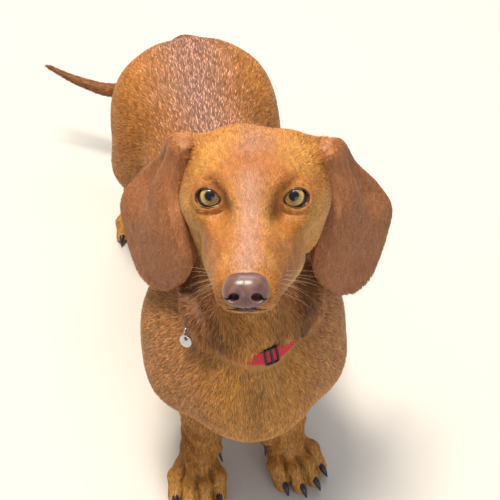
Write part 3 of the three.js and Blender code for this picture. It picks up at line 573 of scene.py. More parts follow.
# %% Ear surface
ear_axes = turned((0, 0, -11), "XYZ")
EAR_FRONT = [
    (34, 52, -10),
    (48, 46, 4),
    (53, 42, -12),
    (58, 37, -34),
    (52, 28, -60),
    (48, 22, -88),
    (55, 24, -111),
    (66, 31, -128),
]
EAR_BACK = [
    (38, 72, -12),
    (59, 67, 0),
    (73, 76, -31),
    (92, 86, -64),
    (103, 88, -90),
    (100, 79, -112),
    (88, 52, -131),
    (76, 38, -133),
]
EAR_ROLL = np.array([-6.0, 8.0, 2.0])  # how the front edge turns in towards the cheek
ROLLED = 0.14
EAR_THICK, EAR_EDGE = 2.6, 1.5
HANGS_FORWARD = {1: 5, -1: 17}


def ear_middle(side, s, t):
    """The flap's middle surface in the ear's frame at shares s and t, before it is puffed out."""
    ahead = HANGS_FORWARD[side] * smooth_step(np.arange(8), 2, 5)
    front, back = (
        curve_at([(side * x, y - a, z + a) for (x, y, z), a in zip(points, ahead)], t)
        for points in (EAR_FRONT, EAR_BACK)
    )
    p = front + (back - front) * (np.maximum(s - ROLLED, 0) / (1 - ROLLED))[:, None]
    roll = np.maximum(1 - s / ROLLED, 0) * np.sin(np.pi * np.clip(t, 0, 1)) ** 0.5
    return p + roll[:, None] * EAR_ROLL * [side, 1, 1]


def ear_points(side, s, t):
    """Points of the ear in the dog's frame, the way out of its outer face, and half its thickness."""
    step = 0.01
    across = ear_middle(side, np.minimum(s + step, 1), t) - ear_middle(side, np.maximum(s - step, 0), t)
    down = ear_middle(side, s, np.minimum(t + step, 1)) - ear_middle(side, s, np.maximum(t - step, 0))
    out = np.cross(across, down) * -side
    out /= np.maximum(np.linalg.norm(out, axis=1), 1e-6)[:, None]
    crown = 9 * np.sin(np.pi * s) * np.sin(np.pi * np.minimum(t * 1.1, 1)) ** 0.6
    dip = 9 * hump(s, 0.72, 0.17) * hump(t, 0.42, 0.2)
    p = ear_middle(side, s, t) + (crown - dip)[:, None] * out
    edge = np.minimum(np.sin(np.pi * np.clip(s, 0, 1)), np.sin(np.pi * np.clip(t, 0, 1)) * 1.5)
    half = (EAR_EDGE + (EAR_THICK - EAR_EDGE) * np.sqrt(np.clip(edge, 0, 1))) / 2
    half = half * (0.1 + 0.9 * smooth_step(t, 0.02, 0.14))
    return p @ ear_axes.T + EYES, out @ ear_axes.T, half


EAR_COLUMNS, EAR_ROWS = 44, 72
ear_s, ear_t = np.meshgrid(
    (1 - np.cos(np.linspace(0, np.pi, EAR_COLUMNS))) / 2, np.linspace(0, 1, EAR_ROWS), indexing="ij"
)
ears = {side: ear_points(side, ear_s.ravel(), ear_t.ravel()) for side in (1, -1)}
# The ridge that each ear grows from, in the skull's skin
ear_roots = []
for side in (1, -1):
    for share in np.linspace(0.01, 0.1, 7):
        row = ear_points(side, np.linspace(0.01, 0.93, 7), np.full(7, share))[0]
        thick = (4.6 - 36 * share) * np.array([0.75, 0.95, 1, 1, 0.95, 0.85, 0.7])
        ear_roots += [limb(row[n], row[n + 1], thick[n], thick[n + 1], 4) for n in range(6)]
ear_ridges = within(fuse(ear_roots), [-90, -60, 280], [100, 70, 400])
for side in (1, -1):
    print("ear", side, "lowest", ears[side][0][:, 2].min().round(1), "mm")

# %% [markdown]
# ## Lids and mouth
# The opening of the eye is an almond, longer than high and drawn down at its inner corner. It is measured in
# degrees as seen from the middle of the eyeball. The mouth is closed: its line runs under the nose and back
# along both sides of the muzzle, dropping to the corners. The skin's field below reads both.

# %% Lids and mouth
OPENING_WIDE, OPENING_HIGH = 46, 35
CORNER_LONG, CORNER_LOW = 7, 9  # how much the inner corner adds to the width, and how far it droops
MM_PER_SHARE = 8.3
opening_axes = turned((-12, 0, 15), "YXZ")


def around_opening(p):
    """How far outside the eye's opening a point lies, in mm, and its height over the eye in degrees."""
    q = (p - EYE_CENTRE) @ opening_axes
    reach = np.maximum(np.linalg.norm(q, axis=1), 1e-3)
    across = np.degrees(np.arctan2(-q[:, 0], -q[:, 1]))
    up = np.degrees(np.arcsin(np.clip(q[:, 2] / reach, -1, 1)))
    angle = np.arctan2(up / OPENING_HIGH, across / OPENING_WIDE)
    inward = np.maximum(np.cos(angle), 0) ** 3
    wide, high = OPENING_WIDE + CORNER_LONG * inward, OPENING_HIGH
    share = np.hypot(across / wide, (up + CORNER_LOW * inward) / high)
    return (share - 1) * MM_PER_SHARE, up, reach


def lid_line(side, distance, steps):
    """Points of the lids' edge in the head's frame, at a distance from the middle of the eyeball."""
    angle = np.linspace(0, 2 * np.pi, steps, endpoint=False)
    inward = np.maximum(np.cos(angle), 0) ** 3
    across = np.radians(OPENING_WIDE + CORNER_LONG * inward) * np.cos(angle)
    up = np.radians(OPENING_HIGH * np.sin(angle) - CORNER_LOW * inward)
    way = np.stack([-np.sin(across), -np.cos(across) * np.cos(up), np.sin(up)], 1)
    way /= np.linalg.norm(way, axis=1)[:, None]
    p = way @ opening_axes.T * distance + EYE_CENTRE
    return p * [side, 1, 1]


def leaves(field, start, way, reach):
    """Where rays that start inside a field come out of it, by halving."""
    near, far = np.zeros(len(start)), np.full(len(start), float(reach))
    for _ in range(14):
        half = (near + far) / 2
        inside = field(start + way * half[:, None]) < 0
        near, far = np.where(inside, half, near), np.where(inside, far, half)
    return start + way * near[:, None]


MOUTH_STEPS = 60
share = np.linspace(-1, 1, MOUTH_STEPS + 1)
angle = share * np.pi / 2
start = np.stack([0 * share, -22 - 60 * np.cos(angle), -41 - 9 * np.abs(share) ** 2.2], 1)
mouth_line = leaves(head, start, np.stack([np.sin(angle), -np.cos(angle), 0 * angle], 1), 60)


def distance_to_line(p, line):
    """Distance from each point to a line of points."""
    best = np.full(len(p), FAR)
    for a, b in zip(line, line[1:]):
        along = np.clip((p - a) @ (b - a) / ((b - a) @ (b - a)), 0, 1)
        best = np.minimum(best, np.linalg.norm(p - a - along[:, None] * (b - a), axis=1))
    return best


print("mouth", np.linalg.norm(np.diff(mouth_line, axis=0), axis=1).sum().round(1), "mm long")

# %% [markdown]
# ## Skin
# The skin lies inside the solids by the depth of the coat: a millimetre on the body, less on the face, the
# ears and the feet. The folds that the solids leave out are pressed into it: the crease round each lid, the
# furrow of the brow, the mouth, the creases of the throat and chest, the wrinkles of the wrists and the
# grooves between the toes.

# %% Skin field
WRIST_FOLD, WRIST_FOLD_STEP = 0.7, 9.5
TOE_GROOVE, TOE_GROOVE_HALF = 2.4, 2.2
THROAT_LOW, THROAT_HIGH = [-65, -105, 110], [65, -15, 265]
# line of each fold, its depth and half its width in mm
THROAT_FOLDS = [
    (np.array([[27.0, -50, 250], [24, -58, 238], [21, -64, 224], [18, -67, 209]]), 2.8, 3.2),
    (
        np.array([[-43.0, -30, 243], [-38, -44, 240], [-33, -56, 234], [-29, -65, 225], [-27, -69, 214]]),
        4.2,
        5.5,
    ),
    (np.array([[42.0, -30, 243], [42, -42, 237], [42, -52, 228], [40, -59, 215], [37, -62, 204]]), 4.0, 4.5),
    (np.array([[-1.0, -85, 174], [-1.5, -88, 166], [-1.1, -92, 142], [-1, -89, 124]]), 1.8, 3.2),
]
toe_grooves = []
for name, side, at, out, size, ankle, front in PAWS:
    origin, axes = paw_frame(side, at, out, front)
    for x in (-11.9, 0, 11.9):
        end = -MIDDLE_TOE if x == 0 else -OUTER_TOE - 3
        groove = np.array([[0.75 * x, -9, 26], [0.9 * x, end + 15, 23], [x, end + 3, 15], [x, end - 3, 5]])
        groove *= size
        toe_grooves.append(groove @ axes.T + origin)


def toe_depth(p):
    """How deep in the groove between two toes a point lies, from 0 to 1."""
    depth = np.zeros(len(p))
    for groove in toe_grooves:
        near = ((p > groove.min(0) - 6) & (p < groove.max(0) + 6)).all(1)
        if near.any():
            to_line = distance_to_line(p[near], groove)
            depth[near] = np.maximum(depth[near], hump(to_line, 0, TOE_GROOVE_HALF))
    return depth


def coat_depth(p):
    """Depth of the coat in mm at points of the dog's frame."""
    face = np.linalg.norm((p - [0, -75, 318]) / [75, 80, 70], axis=1)
    depth = 0.35 + 0.65 * smooth_step(face, 0.75, 1.25)
    return depth * (0.5 + 0.5 * smooth_step(p[:, 2], 25, 60))


def face_details(p, d):
    """Presses the face's folds into the field d, at points of the head's frame."""
    side = one_side(p)
    outside, up, reach = around_opening(side)
    near_eye = smooth_step(18 - reach, 0, 3)
    upper = smooth_step(up, -10, 20)
    # the flesh sinks in a soft bowl to the lids, which lie close on the ball
    q = (side - EYE_CENTRE) @ opening_axes
    past_edge = np.maximum(np.hypot(q[:, 0], q[:, 2]) - 9, 0)
    bowl = (9.8 + 0.15 * past_edge**2 + q[:, 1]) / np.sqrt(1 + (0.3 * past_edge) ** 2)
    d = -melt(-d, bowl, 5)
    d = melt(d, reach - EYE_RADIUS - LID + 0.3, 3)
    d = d + near_eye * (0.7 * upper * hump(outside, 4.8, 1.2) + 0.2 * (1 - upper) * hump(outside, 4.6, 1.3))
    d = d - near_eye * (0.35 * upper * hump(outside, 2.2, 1.4) + 0.3 * (1 - upper) * hump(outside, 2.2, 1.4))
    # the socket, a little wider than the eyeball, and the opening in front of it
    socket = np.minimum(reach - EYE_RADIUS - 0.15, np.where(side[:, 1] < EYE_CENTRE[1], outside, FAR))
    d = -melt(-d, np.where(reach < 24, socket, FAR), 0.8)
    # furrow between the brows and along the crown
    d = d + 0.35 * hump(p[:, 0], 0, 3) * smooth_step(p[:, 1], -14, 10) * smooth_step(p[:, 2], 8, 20)
    near_mouth = (p[:, 1] < 0) & (p[:, 2] < -25)
    if near_mouth.any():
        to_line = distance_to_line(p[near_mouth], mouth_line)
        parting = 0.55 + 0.7 * hump(p[near_mouth, 0], 0, 7)
        lip = d[near_mouth] - 0.5 * hump(to_line, 2.6, 1.8)
        d[near_mouth] = -melt(-lip, to_line - parting, 0.8)
    return d


def skin_field(p):
    d = flesh(p)
    d = melt(d, ear_ridges(p), 9) + coat_depth(p)
    near_head = ((p > [-80, -175, 235]) & (p < [85, 60, 395])).all(1)
    if near_head.any():
        d[near_head] = face_details(to_head(p[near_head]), d[near_head])
    x, y, z = p.T
    # wrinkles of loose skin round the front of each wrist
    wrist = hump(z, 44, 15) * smooth_step(-y, -4, 14) * (np.abs(x) < 75)
    d = d + WRIST_FOLD * wrist * np.sin((z - 0.35 * np.abs(np.abs(x) - 36)) * 2 * np.pi / WRIST_FOLD_STEP)
    near_throat = ((p > THROAT_LOW) & (p < THROAT_HIGH)).all(1)
    for line, deep, half in THROAT_FOLDS if near_throat.any() else []:
        to_line = distance_to_line(p[near_throat], line)
        d[near_throat] = d[near_throat] + deep * hump(to_line, 0, half)
    d = d + TOE_GROOVE * toe_depth(p)
    # the soles stay level
    return np.maximum(d, 0.4 - z)


# %% [markdown]
# ## From the field to a mesh
# The field is read at the crossings of a grid that is fine at the head and coarser behind. Most of the grid
# lies far from the skin, so a coarse pass first finds the blocks that the skin can cross. Each cell that the
# skin crosses gets one vertex, each grid line that pierces the skin gets a face, and the vertices are then
# slid along the field's slope until they lie on the skin.

# %% Meshing


def graded(*stops):
    """Grid lines from the first stop to the last; each stop is (place, spacing there)."""
    lines = [stops[0][0]]
    for (start, wide), (end, next_wide) in zip(stops, stops[1:]):
        while lines[-1] < end:
            share = max(lines[-1] - start, 0) / (end - start)
            lines.append(lines[-1] + wide + (next_wide - wide) * share)
    return np.array(lines)


BLOCK = 4


def field_on_grid(field, grid):
    """The field's values where the skin is near, and its sign times 1000 elsewhere."""
    shape = tuple(len(lines) for lines in grid)
    centres = [np.append(lines, lines[-1] + 9)[BLOCK // 2 :: BLOCK] for lines in grid]
    half = [np.gradient(c) / 2 for c in centres]
    middle = np.stack(np.meshgrid(*centres, indexing="ij"), -1).reshape(-1, 3)
    reach = np.sqrt(sum(h**2 for h in np.meshgrid(*half, indexing="ij"))).ravel()
    coarse = in_chunks(field, middle)
    blocks = tuple(len(c) for c in centres)

    def spread(values):
        for axis in range(3):
            values = np.repeat(values, BLOCK, axis=axis)
        return values[: shape[0], : shape[1], : shape[2]]

    values = spread(np.where(coarse > 0, FAR, -FAR).astype(np.float32).reshape(blocks)).copy()
    near = spread((np.abs(coarse) < 1.9 * reach + 1).reshape(blocks))
    i, j, k = np.nonzero(near)
    values[i, j, k] = in_chunks(field, np.stack([grid[0][i], grid[1][j], grid[2][k]], 1))
    return values


def relaxed(p, faces, field, rounds, pull=0.5, most=1.5):
    """Moves vertices towards the middle of their neighbours and back onto the field's zero."""
    a = faces.ravel()
    b = np.roll(faces, -1, axis=1).ravel()
    count = np.maximum(np.bincount(a, minlength=len(p)), 1)[:, None]
    for _ in range(rounds):
        centre = np.stack([np.bincount(a, weights=p[b, n], minlength=len(p)) for n in range(3)], 1) / count
        p = onto_skin(p + (centre - p) * pull, field, most)
    return p


def slope(p, field, step=0.35):
    """The field and its slope at points."""
    here = in_chunks(field, p)
    ahead = [in_chunks(field, p + step * np.eye(3)[axis]) for axis in range(3)]
    return here, (np.stack(ahead, 1) - here[:, None]) / step


def onto_skin(p, field, most):
    here, ways = slope(p, field)
    move = -here / np.maximum((ways * ways).sum(1), 0.15)
    return p + ways * np.clip(move, -most, most)[:, None]


def net(field, grid, rounds=2):
    """Vertices and four-sided faces of the field's zero surface."""
    values = field_on_grid(field, grid)
    inside = values < 0
    n = [size - 1 for size in values.shape]
    corners = [(c & 1, (c >> 1) & 1, c >> 2) for c in range(8)]
    count = sum(
        inside[a : a + n[0], b : b + n[1], c : c + n[2]].astype(np.int8) for a, b, c in corners
    )
    cells = np.stack(np.nonzero((count > 0) & (count < 8)), 1)
    number = np.full(count.shape, -1, np.int32)
    number[tuple(cells.T)] = np.arange(len(cells))
    at = [values[tuple((cells + corner).T)] for corner in corners]
    place = [
        np.stack([grid[axis][cells[:, axis] + corner[axis]] for axis in range(3)], 1) for corner in corners
    ]
    total, crossings = np.zeros((len(cells), 3)), np.zeros(len(cells))
    for a in range(8):
        for b in (a | 1, a | 2, a | 4):
            if b == a:
                continue
            crossed = (at[a] < 0) != (at[b] < 0)
            t = np.where(crossed, at[a] / np.where(crossed, at[a] - at[b], 1), 0)[:, None]
            total += np.where(crossed[:, None], place[a] + (place[b] - place[a]) * t, 0)
            crossings += crossed
    vertices = total / crossings[:, None]
    faces = []
    for axis in range(3):
        u, v = (axis + 1) % 3, (axis + 2) % 3
        first = np.take(inside, range(0, n[axis]), axis)
        second = np.take(inside, range(1, n[axis] + 1), axis)
        edges = np.stack(np.nonzero(first != second), 1)
        edges = edges[((edges > 0) & (edges < np.array(count.shape))).all(1) | (edges[:, axis] == 0)]
        edges = edges[(edges[:, u] > 0) & (edges[:, v] > 0)]
        edges = edges[(edges[:, u] < n[u]) & (edges[:, v] < n[v])]
        ring = []
        for du, dv in ((1, 1), (0, 1), (0, 0), (1, 0)):
            cell = edges.copy()
            cell[:, u] -= du
            cell[:, v] -= dv
            ring.append(number[tuple(cell.T)])
        ring = np.stack(ring, 1)
        outward = inside[tuple(edges.T)]
        faces.append(np.where(outward[:, None], ring, ring[:, ::-1]))
    faces = np.concatenate(faces)
    return relaxed(vertices, faces, field, rounds), faces


def mesh_from(name, vertices, faces):
    """A mesh from points in mm of the dog's frame and faces with three or four corners each."""
    mesh = bpy.data.meshes.new(name)
    corners = faces.shape[1]
    mesh.vertices.add(len(vertices))
    mesh.vertices.foreach_set("co", ((vertices - CENTRE) / 1000).astype(np.float32).ravel())
    mesh.loops.add(faces.size)
    mesh.loops.foreach_set("vertex_index", faces.astype(np.int32).ravel())
    mesh.polygons.add(len(faces))
    mesh.polygons.foreach_set("loop_start", np.arange(0, faces.size, corners, dtype=np.int32))
    mesh.polygons.foreach_set("use_smooth", np.full(len(faces), True))
    mesh.update(calc_edges=True)
    return mesh


def add_piece(name, mesh, material, slot, *nodes):
    """Puts a piece in the scene, on the dog's one body, in the place of its solids."""
    piece = bpy.data.objects.new(name, mesh)
    bpy.context.scene.collection.objects.link(piece)
    mesh.materials.append(material)
    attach(piece, "root")
    if nodes:
        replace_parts(piece, *nodes)
    return piece


def add_shape(name, shape, material, slot, *nodes):
    """A piece from a pair of vertices and faces."""
    return add_piece(name, mesh_from(name, *shape), material, slot, *nodes)


FINE = 1.15  # mm between the grid's lines at the head
skin_grid = [
    graded((-138, 3.2), (-68, 2.2), (-56, FINE), (60, FINE), (72, 2.2), (128, 3.2)),
    graded((-160, FINE), (-30, FINE), (60, 2.6), (240, 3.0), (412, 2.6)),
    graded((-3, 2.0), (40, 2.0), (90, 2.6), (180, 2.6), (250, FINE), (376, FINE)),
]
skin_points, skin_faces = net(skin_field, skin_grid)
print("skin", len(skin_points), "vertices", len(skin_faces), "faces")

# %% [markdown]
# ## Rings joined into a tube
# The rest of the tail, the lids' rims, the claws, the whiskers and the wire rings are all tubes: rings of
# points round a line, joined one to the next. Each ring is turned as little as possible from the one before.

# %% Tubes


def between(here, there):
    """Four-sided faces from each ring of vertices to the next."""
    return np.stack([here, np.roll(here, -1, 1), np.roll(there, -1, 1), there], -1).reshape(-1, 4)


def tube(line, radii, sides=12, looped=False):
    """Vertices and faces of a tube round a line of points; open tubes end in points."""
    line = np.asarray(line, float)
    radii = np.broadcast_to(radii, len(line))
    after = np.roll(line, -1, 0) if looped else np.vstack([line[1:], 2 * line[-1] - line[-2]])
    before = np.roll(line, 1, 0) if looped else np.vstack([2 * line[0] - line[1], line[:-1]])
    along = after - before
    along /= np.linalg.norm(along, axis=1)[:, None]
    across = np.cross(along[0], [0.3, 0.2, 0.9])
    turn = np.linspace(0, 2 * np.pi, sides, endpoint=False)[:, None]
    rings = []
    for p, way, radius in zip(line, along, radii):
        across = across - way * (across @ way)
        across /= np.linalg.norm(across)
        rings.append(p + radius * (np.cos(turn) * across + np.sin(turn) * np.cross(way, across)))
    if not looped:
        rings = [np.repeat(line[:1], sides, 0), *rings, np.repeat(line[-1:], sides, 0)]
    count = len(rings)
    index = np.arange(count * sides).reshape(count, sides)
    here = index if looped else index[:-1]
    there = np.roll(index, -1, 0) if looped else index[1:]
    return np.vstack(rings), between(here, there)


def joined(parts):
    """Several lists of vertices and faces as one."""
    points, faces, count = [], [], 0
    for p, f in parts:
        points.append(p)
        faces.append(f + count)
        count += len(p)
    return np.vstack(points), np.vstack(faces)


tail_depth = 0.9 * np.clip(tail_radius / 9, 0.3, 1)
tail_from = TAIL_ROOT - 3
tail_tube = tube(tail_line[tail_from:], (tail_radius - tail_depth)[tail_from:], 28)
print("tail tube", len(tail_tube[0]), "vertices")

# %% [markdown]
# ## Ear flaps
# The flaps are too thin for the grid, so they are made from their own surface: an outer and an inner sheet,
# joined round the edge. Their upper ends are sunk in the ridges of the skull's skin, and they join the
# skin's mesh.

# %% Ear flaps


def ear_flap(side):
    """The flap's vertices in the dog's frame and its four-sided faces."""
    p, out, half = ears[side]
    columns, rows = EAR_COLUMNS, EAR_ROWS
    vertices = np.vstack([p + out * half[:, None], p - out * half[:, None]])
    index = np.arange(columns * rows).reshape(columns, rows)
    a, b, c, d = index[:-1, :-1], index[1:, :-1], index[1:, 1:], index[:-1, 1:]
    sheet = np.stack([a, b, c, d], -1).reshape(-1, 4)
    back = sheet[:, ::-1] + columns * rows
    rim = np.concatenate([index[:, 0], index[-1, 1:], index[-2::-1, -1], index[0, -2:0:-1]])
    after = np.roll(rim, -1)
    edge = np.stack([rim, rim + columns * rows, after + columns * rows, after], 1)
    faces = np.vstack([sheet, back, edge])
    return vertices, faces if side < 0 else faces[:, ::-1]


all_points, all_faces = joined([(skin_points, skin_faces), ear_flap(1), ear_flap(-1), tail_tube])
skin_mesh = mesh_from("skin", all_points, all_faces)
print("skin with ears and tail", len(all_points), "vertices")

# %% [markdown]
# ## Eyes
# A dog's eye is a ball with a clearer, steeper window in front. The iris is amber with a dark ring round
# it, and the pupil is small in daylight. Each ball is turned so that its own Z axis is the line of sight:
# then the material only has to measure how far a point lies from that axis. A clear coat stands for the wet
# cornea.

# %% Eyes
GAZE_UP = 21
CORNEA, CORNEA_EDGE = 0.9, 34
PUPIL_EDGE = 3.7 / EYE_RADIUS
IRIS_EDGE = 0.735  # shares of the ball's radius

# the wet ball: amber iris with fine spokes, dark ring, brown white of the eye
eye_material, tree = new_material("wet_eye")
coordinates = add_node(tree, "ShaderNodeTexCoord").outputs["Object"]
split = add_node(tree, "ShaderNodeSeparateXYZ", Vector=coordinates)
x, y = split.outputs["X"], split.outputs["Y"]
x2 = add_node(tree, "ShaderNodeMath", {"operation": "MULTIPLY"}, i0=x, i1=x)
y2 = add_node(tree, "ShaderNodeMath", {"operation": "MULTIPLY"}, i0=y, i1=y)
r2 = add_node(tree, "ShaderNodeMath", {"operation": "ADD"}, i0=x2, i1=y2)
from_axis = add_node(tree, "ShaderNodeMath", {"operation": "SQRT"}, i0=r2)
angle = add_node(tree, "ShaderNodeMath", {"operation": "ARCTAN2"}, i0=y, i1=x)
around = add_node(tree, "ShaderNodeCombineXYZ", X=angle, Y=from_axis)
spokes_at = add_node(tree, "ShaderNodeMapping", Vector=around, Scale=(9.0, 350.0, 1.0))
spokes = add_node(tree, "ShaderNodeTexNoise", Vector=spokes_at, Scale=1.0, Detail=3.0)
ragged = add_node(tree, "ShaderNodeMath", {"operation": "MULTIPLY_ADD"}, i0=spokes, i1=0.0006, i2=from_axis)
share = add_node(tree, "ShaderNodeMath", {"operation": "DIVIDE"}, i0=ragged, i1=EYE_RADIUS / 1000)
EYE_TONES = [
    (PUPIL_EDGE - 0.01, "#0A0D16"),
    (PUPIL_EDGE + 0.04, "#86682F"),
    (0.46, "#BF9A54"),
    (0.62, "#DAB96C"),
    (0.69, "#7A5E2A"),
    (IRIS_EDGE, "#1C110C"),
    (0.79, "#241611"),
    (0.88, "#5A4238"),
]
streaks = ramp(tree, spokes, [(0.35, "#6A6A6A"), (0.65, "#FFFFFF")])
settings = {"data_type": "RGBA", "blend_type": "MULTIPLY"}
mixed = add_node(tree, "ShaderNodeMix", settings, i0=0.5, i6=ramp(tree, share, EYE_TONES), i7=streaks)
surface(
    tree,
    Base_Color=mixed.outputs[2],
    Roughness=0.25,
    IOR=1.38,
    Coat_Weight=1.0,
    Coat_Roughness=0.02,
    Coat_IOR=1.38,
)


def eyeball(rings=64, sides=64):
    """The ball round its own Z axis, in mm."""
    angle = np.pi * np.linspace(0, 1, rings) ** 1.3
    edge = math.radians(CORNEA_EDGE)
    radius = EYE_RADIUS + CORNEA * smooth_step(edge - angle, 0, math.radians(14))
    turn = np.linspace(0, 2 * np.pi, sides, endpoint=False)
    wide = (radius * np.sin(angle))[:, None]
    x, y = wide * np.cos(turn), wide * np.sin(turn)
    z = (radius * np.cos(angle))[:, None] + 0 * turn
    index = np.arange(rings * sides).reshape(rings, sides)
    here, there = index[:-1], index[1:]
    faces = np.stack([here, there, np.roll(there, -1, 1), np.roll(here, -1, 1)], -1).reshape(-1, 4)
    return np.stack([x, y, z], -1).reshape(-1, 3), faces


gaze = head_axes @ np.array([0, -math.cos(math.radians(GAZE_UP)), math.sin(math.radians(GAZE_UP))])
for side, side_name in ((1, "left"), (-1, "right")):
    points, faces = eyeball()
    mesh = mesh_from("eye_" + side_name + "_ball", points + CENTRE, faces)
    mesh.materials.append(eye_material)
    piece = bpy.data.objects.new(mesh.name, mesh)
    piece.rotation_mode = "QUATERNION"
    piece.rotation_quaternion = Vector(gaze).to_track_quat("Z", "Y")
    piece.location = (from_head(EYE_CENTRE * [side, 1, 1]) - CENTRE) / 1000
    bpy.context.scene.collection.objects.link(piece)
    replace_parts(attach(piece, "root"), "eye_" + side_name)
print("iris", round(2 * IRIS_EDGE * EYE_RADIUS, 1), "mm across")

# %% [markdown]
# ## Lid rims and lips
# The edge of each lid is bare, dark and moist. A thin tube follows the opening and dips at the inner corner.
# A second tube lies in the parting of the mouth. It is full under the nose and thins out to both sides.

# %% Lid rims and lips
# moist bare skin at the edge of the lids
rim_material = grained(
    "moist_lid_skin", 900.0, [(0.35, "#2E1A17"), (0.65, "#52332D")], Roughness=0.32, Coat_Weight=0.25
)
# brown skin of the lips, dry on the outside
lip_material = grained("closed_lip_skin", 700.0, [(0.35, "#56332A"), (0.65, "#7C4F42")], Roughness=0.45)
rims = [tube(from_head(lid_line(side, EYE_RADIUS + 1.5, 72)), 0.7, 10, looped=True) for side in (1, -1)]
add_shape("lid_rims", joined(rims), rim_material, "nose_leather")
lip_line = mouth_line[18:-18] - [0, 0, 1.0]
lip_size = 0.25 + 1.75 * hump(lip_line[:, 0], 0, 6.5)
add_shape("lips", tube(from_head(lip_line), lip_size, 10), lip_material, "nose_leather")
print("lid rims and lips", len(lip_line), "rings of lip")

# %% [markdown]
# ## Nose leather
# The nose is bare skin with a pebbled grain, wide at the top, with a comma-shaped nostril on each side and
# a furrow below. It is a field of its own on a fine grid, and its grain is a Voronoi bump with cells 0.9 mm
# wide.

# %% Nose
nose_lumps = fuse(
    [
        ellipsoid([0, NOSE_Y + 2, NOSE_Z + 2], [11.2, 11, 9.8], 4),
        ellipsoid([6.6, NOSE_Y + 2, NOSE_Z + 2.6], [8.2, 10, 7.8], 5),
        ellipsoid([7.0, NOSE_Y - 1.5, NOSE_Z - 2.4], [7.4, 8.5, 6.2], 5),
        ellipsoid([0, NOSE_Y, NOSE_Z - 6.4], [6, 7.5, 4.6], 4),
    ]
)
nose_hollow = hollowed(
    nose_lumps,
    [
        ellipsoid([8.1, NOSE_Y - 10.5, NOSE_Z - 1.0], [3.7, 9, 3.0], 1.5, [0, 20, 20]),
        ellipsoid([12.0, NOSE_Y - 4, NOSE_Z - 2.6], [2.6, 4.4, 0.6], 1.8, [0, 20, 35]),
    ],
)


def nose(p):
    side = one_side(p)
    low, forward = smooth_step(NOSE_Z - 1 - p[:, 2], 0, 6), smooth_step(-92 - p[:, 1], 0, 4)
    furrow = hump(side[:, 0], 0, 0.8) * low * forward
    return np.maximum(nose_hollow(side) + 0.8 * furrow, p[:, 1] + 81)


NOSE_STEP = 0.55
GRAIN = 0.9  # mm between the pebbles
nose_grid = [
    graded((-18, NOSE_STEP), (18, NOSE_STEP)),
    graded((-110, NOSE_STEP), (-79, 0.8)),
    graded((-50, NOSE_STEP), (-10, NOSE_STEP)),
]
points, faces = net(nose, nose_grid)
# bare brown leather, blotched and pebbled
nose_material, tree = new_material("nose_leather_pebbled")
coordinates = add_node(tree, "ShaderNodeTexCoord").outputs["Object"]
grain = add_node(tree, "ShaderNodeTexVoronoi", Vector=coordinates, Scale=1000 / GRAIN)
blotches = add_node(tree, "ShaderNodeTexNoise", Vector=coordinates, Scale=160.0, Detail=4.0)
bump = add_node(tree, "ShaderNodeBump", Strength=0.35, Distance=0.0002, Height=grain.outputs["Distance"])
surface(
    tree,
    Base_Color=ramp(tree, blotches, [(0.3, "#523733"), (0.7, "#7D5A52")]),
    Roughness=0.36,
    Coat_Weight=0.2,
    Coat_Roughness=0.25,
    Normal=bump,
)
add_shape("nose_leather", (from_head(points), faces), nose_material, "nose_leather", "nose")
print("nose", len(points), "vertices")

# %% [markdown]
# ## Whiskers
# About a dozen pale bristles grow on each side of the upper lip, in three rows, and bend back and down.

# %% Whiskers
# pale horn of a bristle
whisker_tones = [(0.3, "#A8875F"), (0.7, "#CDB08C")]
whisker_material = grained("pale_whisker", 300.0, whisker_tones, Roughness=0.4, IOR=1.55)
whisker_random = np.random.default_rng(3)
whiskers = []
for side in (1, -1):
    for row in range(3):
        for place in range(4):
            start = np.array([[1, -78 + 7 * place + 2 * row, -29 - 4 * row]], float)
            root = leaves(head, start, np.array([[1.0, 0, 0]]), 40)[0] - [1.2, 0, 0]
            length = 20 + 3.5 * place + whisker_random.uniform(-2, 4)
            way = np.array([1, 0.15 + 0.2 * place, -0.1 - 0.2 * row]) + whisker_random.normal(0, 0.12, 3)
            way /= np.linalg.norm(way)
            t = np.linspace(0, 1, 9)[:, None]
            line = root + way * length * t + np.array([-3, 6, -6]) * t**2
            whiskers.append(tube(from_head(line * [side, 1, 1]), 0.11 * (1 - 0.7 * t[:, 0]), 5))
add_shape("whiskers", joined(whiskers), whisker_material, "coat")
print("whiskers", len(whiskers))

# %% [markdown]
# ## Claws
# Each claw is a horn sheath: a cone that curves down to a blunt tip just over the floor. It starts inside
# the toe.

# %% Claws
# almost black horn
claw_material = grained(
    "claw_horn_dark",
    420.0,
    [(0.3, "#15131A"), (0.7, "#3A3642")],
    detail=3.0,
    bump=(0.2, 0.0001),
    Roughness=0.32,
    IOR=1.54,
)
CLAW_REACH, CLAW_THICK = 12, 3.2


def claw(root, tip, radius):
    """A curved horn from the toe's bone to its tip, in the paw's frame."""
    root, tip = np.array(root, float), np.array(tip, float)
    middle = root * [0.6, 0.3, 0.8] + tip * [0.4, 0.7, 0.2] + [0, 0, 1.5]
    t = np.linspace(0, 1, 22)[:, None]
    line = (1 - t) ** 2 * root + 2 * t * (1 - t) * middle + t * t * tip
    return tube(line, radius * (1 - 0.86 * t[:, 0] ** 1.6) * (1 - 0.9 * smooth_step(t[:, 0], 0.96, 1.01)), 16)


